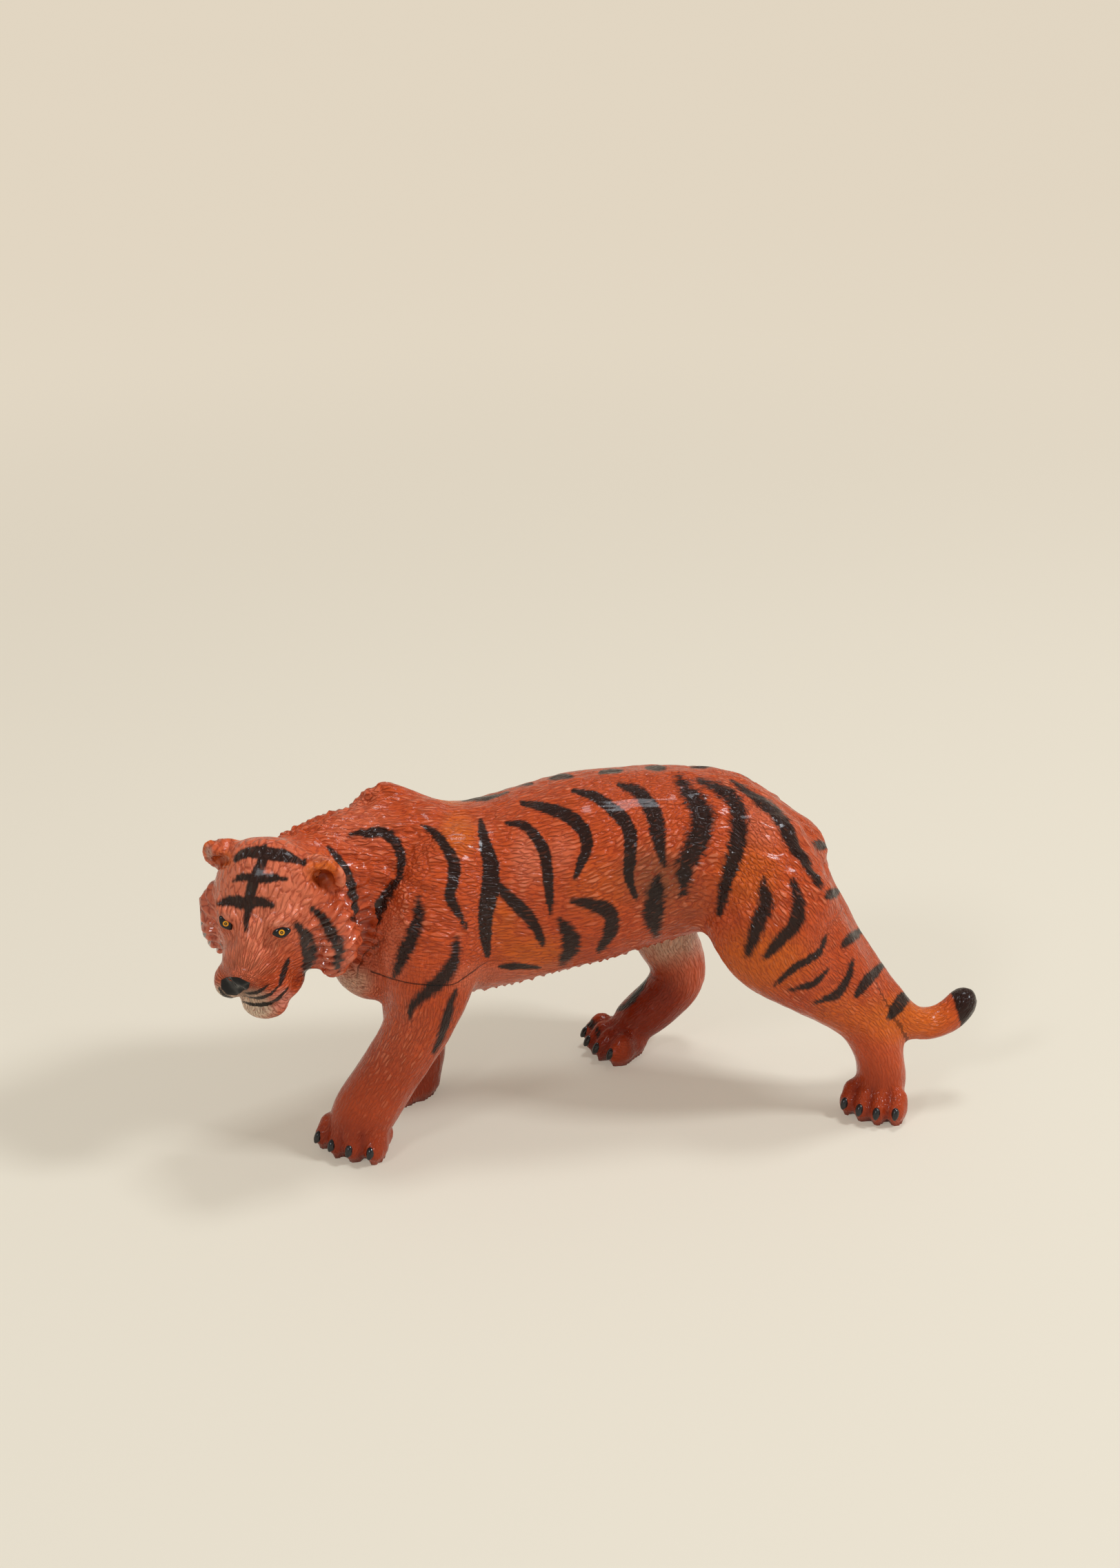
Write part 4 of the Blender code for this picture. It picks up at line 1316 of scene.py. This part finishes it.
def skin_material(colours, sizes):
    """Sprayed soft vinyl with carved fur: painted shade darkens the grooves, and dry paint with painted
    highlights lightens the crests.
    """
    material, tree, surface = new_material("painted_vinyl_skin")
    surface["Specular IOR Level"].default_value = 0.16
    surface["Coat Roughness"].default_value = 0.09
    trunk = fur_values(tree, "coat_trunk", sizes.strand_along, sizes.strand_across)
    limb = fur_values(tree, "coat_limb", 1.25 * sizes.strand_along, 1.25 * sizes.strand_across)
    share = attribute(tree, "limb_share")
    height, groove, feather = (
        mix_value(tree, share, trunk[name], limb[name]) for name in ("Height", "Groove", "Feather")
    )
    furred = attribute(tree, "furred")
    crisp = step_value(tree, attribute(tree, "crisp"), -0.15, 0.15)
    ruff = attribute(tree, "ruff")
    joint = joint_line(tree)
    # A noise in patches: uneven gloss, and where the painted highlights on the crests show
    wear_and_sheen_patches = step_value(tree, object_noise(tree, Scale=60.0, Detail=3.0), 0.42, 0.66)
    # Dry paint and painted highlights on the strokes' crests, where glints would fall
    crest_highlight = maths(tree, "MULTIPLY", step_value(tree, height, 1.3, 1.7), wear_and_sheen_patches)
    crest_highlight = maths(tree, "MULTIPLY", crest_highlight, maths(tree, "MULTIPLY", furred, 0.5))
    colour = skin_colour(tree, colours, sizes, maths(tree, "MULTIPLY", groove, furred), crest_highlight, feather)
    colour = mix_colour(tree, maths(tree, "MULTIPLY", joint, 0.75), colour, colours.stripe)
    plug(tree, mix_colour(tree, crisp, colour, colours.black), surface["Base Color"])
    dull = maths(tree, "MULTIPLY_ADD", wear_and_sheen_patches, 0.12, 0.20)
    less = maths(tree, "MULTIPLY", maths(tree, "MAXIMUM", ruff, crisp), 0.10)
    plug(tree, maths(tree, "SUBTRACT", dull, less), surface["Roughness"])
    plug(tree, maths(tree, "MULTIPLY_ADD", ruff, 0.85, 0.14), surface["Coat Weight"])
    relief = maths(tree, "MULTIPLY", height, maths(tree, "SUBTRACT", 1.0, crisp))
    relief = maths(tree, "SUBTRACT", maths(tree, "MULTIPLY", relief, furred), joint)
    bumped(tree, relief, surface, Strength=1.0, Distance=sizes.fur_depth * MM)
    arrange(tree)
    return material


def skin_colour(tree, colours, sizes, groove, crest_highlight, feather):
    """The sprayed coat with painted shade in its grooves, dry paint and painted highlights on its crests, and
    its ragged stripes.
    """
    coat = attribute(tree, "paint", "Color")
    # Painted shade: the grooves between the strokes darker
    shaded = mix_colour(tree, maths(tree, "MULTIPLY", groove, sizes.painted_shade_share), coat, colours.painted_shade)
    dry_brush_and_highlight = mix_colour(tree, crest_highlight, shaded, colours.dry_brush_and_highlight)
    ragged = maths(tree, "MULTIPLY_ADD", feather, 2 * sizes.stripe_feather, 0.15 - sizes.stripe_feather)
    edge = maths(tree, "ADD", attribute(tree, "stripe"), ragged)
    edge = step_value(tree, edge, -0.7, 0.9, top=0.97)
    # The painted highlights on the crests lighten the stripes too
    edge = maths(tree, "SUBTRACT", edge, maths(tree, "MULTIPLY", crest_highlight, 0.3))
    return mix_colour(tree, edge, dry_brush_and_highlight, colours.stripe)


def joint_line(tree):
    """The mask of the fine line where two halves of the moulding meet."""
    gap = maths(tree, "ABSOLUTE", attribute(tree, "joint_gap"))
    return maths(tree, "MULTIPLY", step_value(tree, gap, 0.30, 0.10), attribute(tree, "joint_shown"))


def gloss_material(name, colour, roughness, scale):
    """Glossy paint with a faint unevenness."""
    material, tree, surface = new_material(name)
    grain = object_noise(tree, Scale=scale, Detail=2.0)
    lighter = [min(1.0, value * 1.8 + 0.006) for value in colour]
    plug(tree, mix_colour(tree, grain, colour, lighter), surface["Base Color"])
    plug(tree, maths(tree, "MULTIPLY_ADD", grain, 0.15, roughness - 0.07), surface["Roughness"])
    bumped(tree, grain, surface, Strength=0.25, Distance=0.0002)
    arrange(tree)
    return material


def eye_material(colours):
    """Black gloss with a yellow ring around the pupil, read from the eye's own attribute."""
    material, tree, surface = new_material("painted_eye")
    surface["Roughness"].default_value = 0.14
    surface["Specular IOR Level"].default_value = 0.35
    gap = attribute(tree, "from_pupil")
    ring = maths(tree, "MULTIPLY", step_value(tree, gap, 0.48, 0.56), step_value(tree, gap, 1.02, 0.94))
    spot = maths(tree, "MULTIPLY", step_value(tree, gap, 0.22, 0.16), 0.7)
    iris = mix_colour(tree, step_value(tree, gap, 0.8, 1.0), colours.iris, colours.iris_edge)
    lit = maths(tree, "MAXIMUM", ring, spot)
    plug(tree, mix_colour(tree, lit, colours.black, iris), surface["Base Color"])
    arrange(tree)
    return material


def finish_piece(obj, material):
    """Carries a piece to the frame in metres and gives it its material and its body."""
    obj.data.transform(Matrix.Scale(MM, 4) @ Matrix.Translation(Vector(TO_FRAME)))
    obj.data.update()
    obj.data.materials.clear()
    obj.data.materials.append(material)
    obj.data.shade_smooth()
    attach(obj, "root")


def size_property(name, description, value, **settings):
    """A size that a user may change."""
    return FloatProperty(name=name, description=description, default=value, **settings)


class TigerSizes(bpy.types.PropertyGroup):
    """Sizes that a user may change."""

    skin_voxel: size_property("Skin grid", "Grid of the body's skin in mm", 1.19, min=0.9)
    fur_depth: size_property("Fur depth", "Depth of the fine carved strands in mm", 0.48)
    strand_along: size_property("Strand length", "Strands in a mm of length", 0.17)
    strand_across: size_property("Strand breadth", "Strands in a mm of breadth", 0.74)
    # Strength of the painted shade in the carved grooves
    painted_shade_share: size_property("Wash", "Strength of the dark wash in grooves", 0.62)
    clump_depth: size_property("Clump depth", "Share of the clumps' full height", 1.0)
    stripe_feather: size_property("Stripe feather", "How far strands carry a stripe's edge", 1.1)
    claw_length: size_property("Claw length", "Length of a claw in mm", CLAW_LENGTH)
    claw_sides: IntProperty(name="Claw sides", description="Faces around a claw", default=14, min=6)
    floor_size: size_property("Floor size", "Width of the floor", 36.0, unit="LENGTH")


def colour_property(name, description, value):
    """A colour that a user may change."""
    settings = {"subtype": "COLOR", "size": 3, "min": 0, "max": 1}
    return FloatVectorProperty(name=name, description=description, default=value, **settings)


class TigerColours(bpy.types.PropertyGroup):
    """Paint colours that a user may change."""

    coat: colour_property("Coat", "Main orange-red of the vinyl", (0.545, 0.076, 0.016))
    # Orange: sprayed orange areas, also used for a painted highlight on the shoulder blade
    orange: colour_property("Orange", "Sprayed orange areas", (0.660, 0.128, 0.010))
    # Pink: dry pinkish paint, also used for painted sheen, painted highlights and painted light from above
    pink: colour_property("Pink", "Dry pinkish areas", (0.740, 0.195, 0.100))
    pale: colour_property("Pale", "Whitish chin and bib", (0.800, 0.600, 0.440))
    grey: colour_property("Grey", "Thin lines above the eyes", (0.420, 0.330, 0.270))
    # Dark: red-brown paint of the paws and inner legs, also used for painted shade low on the legs, between
    # the toes and in the ears' hollows
    dark: colour_property("Dark", "Red-brown of paws and inner legs", (0.230, 0.022, 0.006))
    rose: colour_property("Rose", "Inside of the lip", (0.740, 0.250, 0.170))
    shade: colour_property("Shade", "Brownish haze", (0.160, 0.070, 0.030))
    # Painted shade that darkens the carved grooves
    painted_shade: colour_property("Wash", "Dark wash in the grooves", (0.240, 0.022, 0.006))
    # Dry paint and painted highlights on the strokes' crests
    dry_brush_and_highlight: colour_property("Dry brush", "Dry paint on the crests", (0.780, 0.260, 0.140))
    stripe: colour_property("Stripe", "Sprayed black-brown", (0.010, 0.006, 0.005))
    black: colour_property("Black", "Gloss black of nose and claws", (0.006, 0.006, 0.007))
    iris: colour_property("Iris", "Yellow ring of the eye", (0.820, 0.370, 0.008))
    iris_edge: colour_property("Iris edge", "Outer edge of the ring", (0.620, 0.150, 0.005))
    floor: colour_property("Floor", "Cream floor near the camera", (0.790, 0.727, 0.604))
    floor_far: colour_property("Backdrop", "Cream behind the tiger", (0.760, 0.672, 0.540))


class TIGER_OT_stage(bpy.types.Operator):
    """Set up the floor, the soft light and the camera"""

    bl_idname = "tiger.stage"
    bl_label = "Stage"

    def execute(self, context):
        build_floor(context.scene.tiger_colours, context.scene.tiger_sizes)
        build_light(context.scene)
        build_camera(context.scene)
        return {"FINISHED"}


class TIGER_OT_skin(bpy.types.Operator):
    """Sculpt, carve and paint the tiger's skin"""

    bl_idname = "tiger.skin"
    bl_label = "Painted skin"

    def execute(self, context):
        sizes = context.scene.tiger_sizes
        colours = context.scene.tiger_colours
        form = sculpt_form(sizes)
        skin = Skin(form.data)
        carve(skin, sizes)
        paint(skin, colours)
        finish_piece(form, skin_material(colours, sizes))
        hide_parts(CAD_NODE)
        return {"FINISHED"}


class TIGER_OT_eyes(bpy.types.Operator):
    """Set the two painted eyes"""

    bl_idname = "tiger.eyes"
    bl_label = "Eyes"

    def execute(self, context):
        material = eye_material(context.scene.tiger_colours)
        skin = BVHTree.FromObject(bpy.data.objects["painted_skin"], context.evaluated_depsgraph_get())
        for name, marks in EYE_MARKS.items():
            build_eye(name, marks, skin, material)
        return {"FINISHED"}


class TIGER_OT_claws(bpy.types.Operator):
    """Set four claws on each paw"""

    bl_idname = "tiger.claws"
    bl_label = "Claws"

    def execute(self, context):
        material = gloss_material("claw_gloss", context.scene.tiger_colours.black, 0.22, 900.0)
        for name, paw in PAWS.items():
            build_claws(f"{name}_claws", paw, context.scene.tiger_sizes, material)
        return {"FINISHED"}


class TIGER_PT_panel(bpy.types.Panel):
    """The list of pieces in the sidebar"""

    bl_idname = "TIGER_PT_panel"
    bl_label = "Moulded Toy Tiger"
    bl_space_type = "VIEW_3D"
    bl_region_type = "UI"
    bl_category = "Tiger"

    def draw(self, context):
        for made in OPERATORS:
            self.layout.operator(made.bl_idname)


OPERATORS = (TIGER_OT_stage, TIGER_OT_skin, TIGER_OT_eyes, TIGER_OT_claws)
CLASSES = (TigerSizes, TigerColours, *OPERATORS, TIGER_PT_panel)


def sight(pixel):
    """The direction in which the camera sees a pixel, in the tiger's axes."""
    ahead, right, up = camera_axes()
    across = right * (pixel[0] - PICTURE[0] / 2) / PIXEL_SCALE
    line = ahead + across - up * (pixel[1] - PICTURE[1] / 2) / PIXEL_SCALE
    return Vector(line / np.linalg.norm(line))


def build_eye(name, marks, skin, material):
    """A low dome with pointed corners, set in the skin where its marks show, with its ring ahead."""
    camera = Vector((CAMERA_PLACE + TO_FRAME) * MM)
    place, normal, _, _ = skin.ray_cast(camera, sight(marks[0]))
    if place is None:
        raise RuntimeError(f"{name} has no skin under it")
    place = place / MM - Vector(TO_FRAME)
    eye = Vector(CAMERA_PLACE)
    face = (normal.normalized() + (eye - place).normalized()).normalized()
    corners = []
    for mark in marks[1:]:
        line = sight(mark)
        corners.append(eye + line * ((place - eye).dot(face) / line.dot(face)))
    along = (corners[1] - corners[0]).normalized()
    up = face.cross(along).normalized()
    if up.z < 0:
        up = -up
    bm = bmesh.new()
    bmesh.ops.create_uvsphere(bm, u_segments=48, v_segments=32, radius=1.0)
    across, deep, tall = EYE_DOME
    gaps = []
    for vert in bm.verts:
        x, y, z = vert.co
        y *= 1 - 0.45 * x * x
        gaps.append(math.hypot(x * across, y * tall) if z > 0 else 9.0)
        vert.co = place + along * x * across + up * y * tall + face * (z * deep - EYE_SINK)
    bmesh.ops.recalc_face_normals(bm, faces=bm.faces)
    made = new_object(name, bm)
    write_value(made.data, "from_pupil", np.array(gaps))
    finish_piece(made, material)


def build_claws(name, paw, sizes, material):
    """Blunt hooked claws at the tips of a paw's toes."""
    bm = bmesh.new()
    for toe, spread in toes(*paw):
        made = bmesh.ops.create_uvsphere(bm, u_segments=sizes.claw_sides, v_segments=12, radius=1.0)["verts"]
        for vert in made:
            x, y, z = vert.co
            hook = -0.5 * x * x * (x > 0)
            own = Vector((x * sizes.claw_length / 2, y * CLAW_WIDTH / 2, (z * 0.72 + hook) * CLAW_WIDTH))
            vert.co = toe + spread @ (Vector(CLAW_SEAT) + own)
    bmesh.ops.recalc_face_normals(bm, faces=bm.faces)
    claws = new_object(name, bm)
    finish_piece(claws, material)


def build_floor(colours, sizes):
    """A wide round floor that curves up into a wall, far from the tiger."""
    half = sizes.floor_size / 2
    profile = [(0, 0), (half / 8, 0), (half / 2, 0), (half, 0)]
    for turn in np.radians(range(10, 91, 10)):
        profile.append((half + WALL_BEND * math.sin(turn), WALL_BEND - WALL_BEND * math.cos(turn)))
    profile.append((half + WALL_BEND, WALL_HEIGHT))
    bm = bmesh.new()
    verts = [bm.verts.new((x, 0, z)) for x, z in profile]
    edges = [bm.edges.new(pair) for pair in zip(verts, verts[1:])]
    bmesh.ops.spin(
        bm, geom=verts + edges, cent=(0, 0, 0), axis=(0, 0, 1), angle=2 * math.pi, steps=64, use_merge=True
    )
    bmesh.ops.remove_doubles(bm, verts=bm.verts, dist=1e-5)
    bmesh.ops.recalc_face_normals(bm, faces=bm.faces)
    if sum(face.normal.z * face.calc_area() for face in bm.faces) < 0:
        bmesh.ops.reverse_faces(bm, faces=bm.faces)
    floor = new_object("floor", bm)
    floor.data.shade_smooth()
    floor.data.materials.append(floor_material(colours))


def floor_material(colours):
    """Cream paper near the tiger, which fades into an even cream far from it."""
    material, tree, surface = new_material("cream_backdrop")
    surface["Roughness"].default_value = 0.7
    surface["Specular IOR Level"].default_value = 0.2
    cloud = object_noise(tree, Scale=1.5, Detail=2.0)
    where = node(tree, "ShaderNodeTexCoord").outputs["Object"]
    parts = node(tree, "ShaderNodeSeparateXYZ")
    plug(tree, where, parts.inputs[0])
    far = step_value(tree, parts.outputs["Y"], -0.5, 1.6)
    paper = mix_colour(tree, far, colours.floor, colours.floor_far)
    darker = mix_colour(tree, cloud, paper, [value * 0.96 for value in colours.floor_far])
    soft = mix_colour(tree, maths(tree, "MULTIPLY", cloud, 0.3), paper, darker)
    plug(tree, soft, surface["Base Color"])
    length = node(tree, "ShaderNodeVectorMath", operation="LENGTH")
    plug(tree, where, length.inputs[0])
    away = step_value(tree, length.outputs["Value"], 0.45, 1.1, bottom=0.32)
    path = node(tree, "ShaderNodeLightPath").outputs
    seen = maths(tree, "MAXIMUM", path["Is Camera Ray"], path["Is Glossy Ray"])
    seen = maths(tree, "MAXIMUM", seen, path["Is Transmission Ray"])
    glow = node(tree, "ShaderNodeEmission")
    plug(tree, soft, glow.inputs["Color"])
    blend = node(tree, "ShaderNodeMixShader")
    shaders = (tree.nodes["Principled BSDF"].outputs[0], glow.outputs[0])
    for value, socket in zip((maths(tree, "MULTIPLY", away, seen), *shaders), blend.inputs):
        plug(tree, value, socket)
    plug(tree, blend.outputs[0], tree.nodes["Material Output"].inputs["Surface"])
    arrange(tree)
    return material


def build_light(scene):
    """Three soft lamps, the strongest on the picture's right, and a pale sky."""
    world = bpy.data.worlds.new("pale_sky")
    scene.world = world
    world.use_nodes = True
    sky = world.node_tree.nodes["Background"].inputs
    sky["Color"].default_value = SKY_COLOUR
    sky["Strength"].default_value = SKY_STRENGTH
    for name, (place, size, power) in LAMPS.items():
        lamp = bpy.data.lights.new(name, "AREA")
        lamp.energy = power
        lamp.size = size
        lamp.color = LAMP_COLOUR
        obj = bpy.data.objects.new(name, lamp)
        scene.collection.objects.link(obj)
        obj.location = place
        obj.rotation_euler = (Vector(LAMP_AIM) - Vector(place)).to_track_quat("-Z", "Y").to_euler()


def build_camera(scene):
    """The camera at the picture's place and angle."""
    lens = bpy.data.cameras.new("picture_camera")
    lens.lens = LENS
    lens.sensor_width = SENSOR
    lens.sensor_fit = "AUTO"
    lens.clip_start = 0.01
    camera = bpy.data.objects.new("picture_camera", lens)
    scene.collection.objects.link(camera)
    camera.location = Vector((CAMERA_PLACE + TO_FRAME) * MM)
    camera.rotation_euler = (math.radians(90) + CAMERA_TILT, 0, -CAMERA_HEADING)
    scene.camera = camera
    scene.view_settings.view_transform = "Standard"


def register():
    """Adds the classes and the scene's settings."""
    for made in CLASSES:
        bpy.utils.register_class(made)
    bpy.types.Scene.tiger_sizes = PointerProperty(type=TigerSizes)
    bpy.types.Scene.tiger_colours = PointerProperty(type=TigerColours)


def unregister():
    """Takes the scene's settings and the classes away."""
    del bpy.types.Scene.tiger_sizes
    del bpy.types.Scene.tiger_colours
    for made in reversed(CLASSES):
        bpy.utils.unregister_class(made)


def main():
    """Builds the stage and every piece."""
    register()
    bpy.ops.tiger.stage()
    bpy.ops.tiger.skin()
    bpy.ops.tiger.eyes()
    bpy.ops.tiger.claws()


if __name__ == "__main__":
    main()
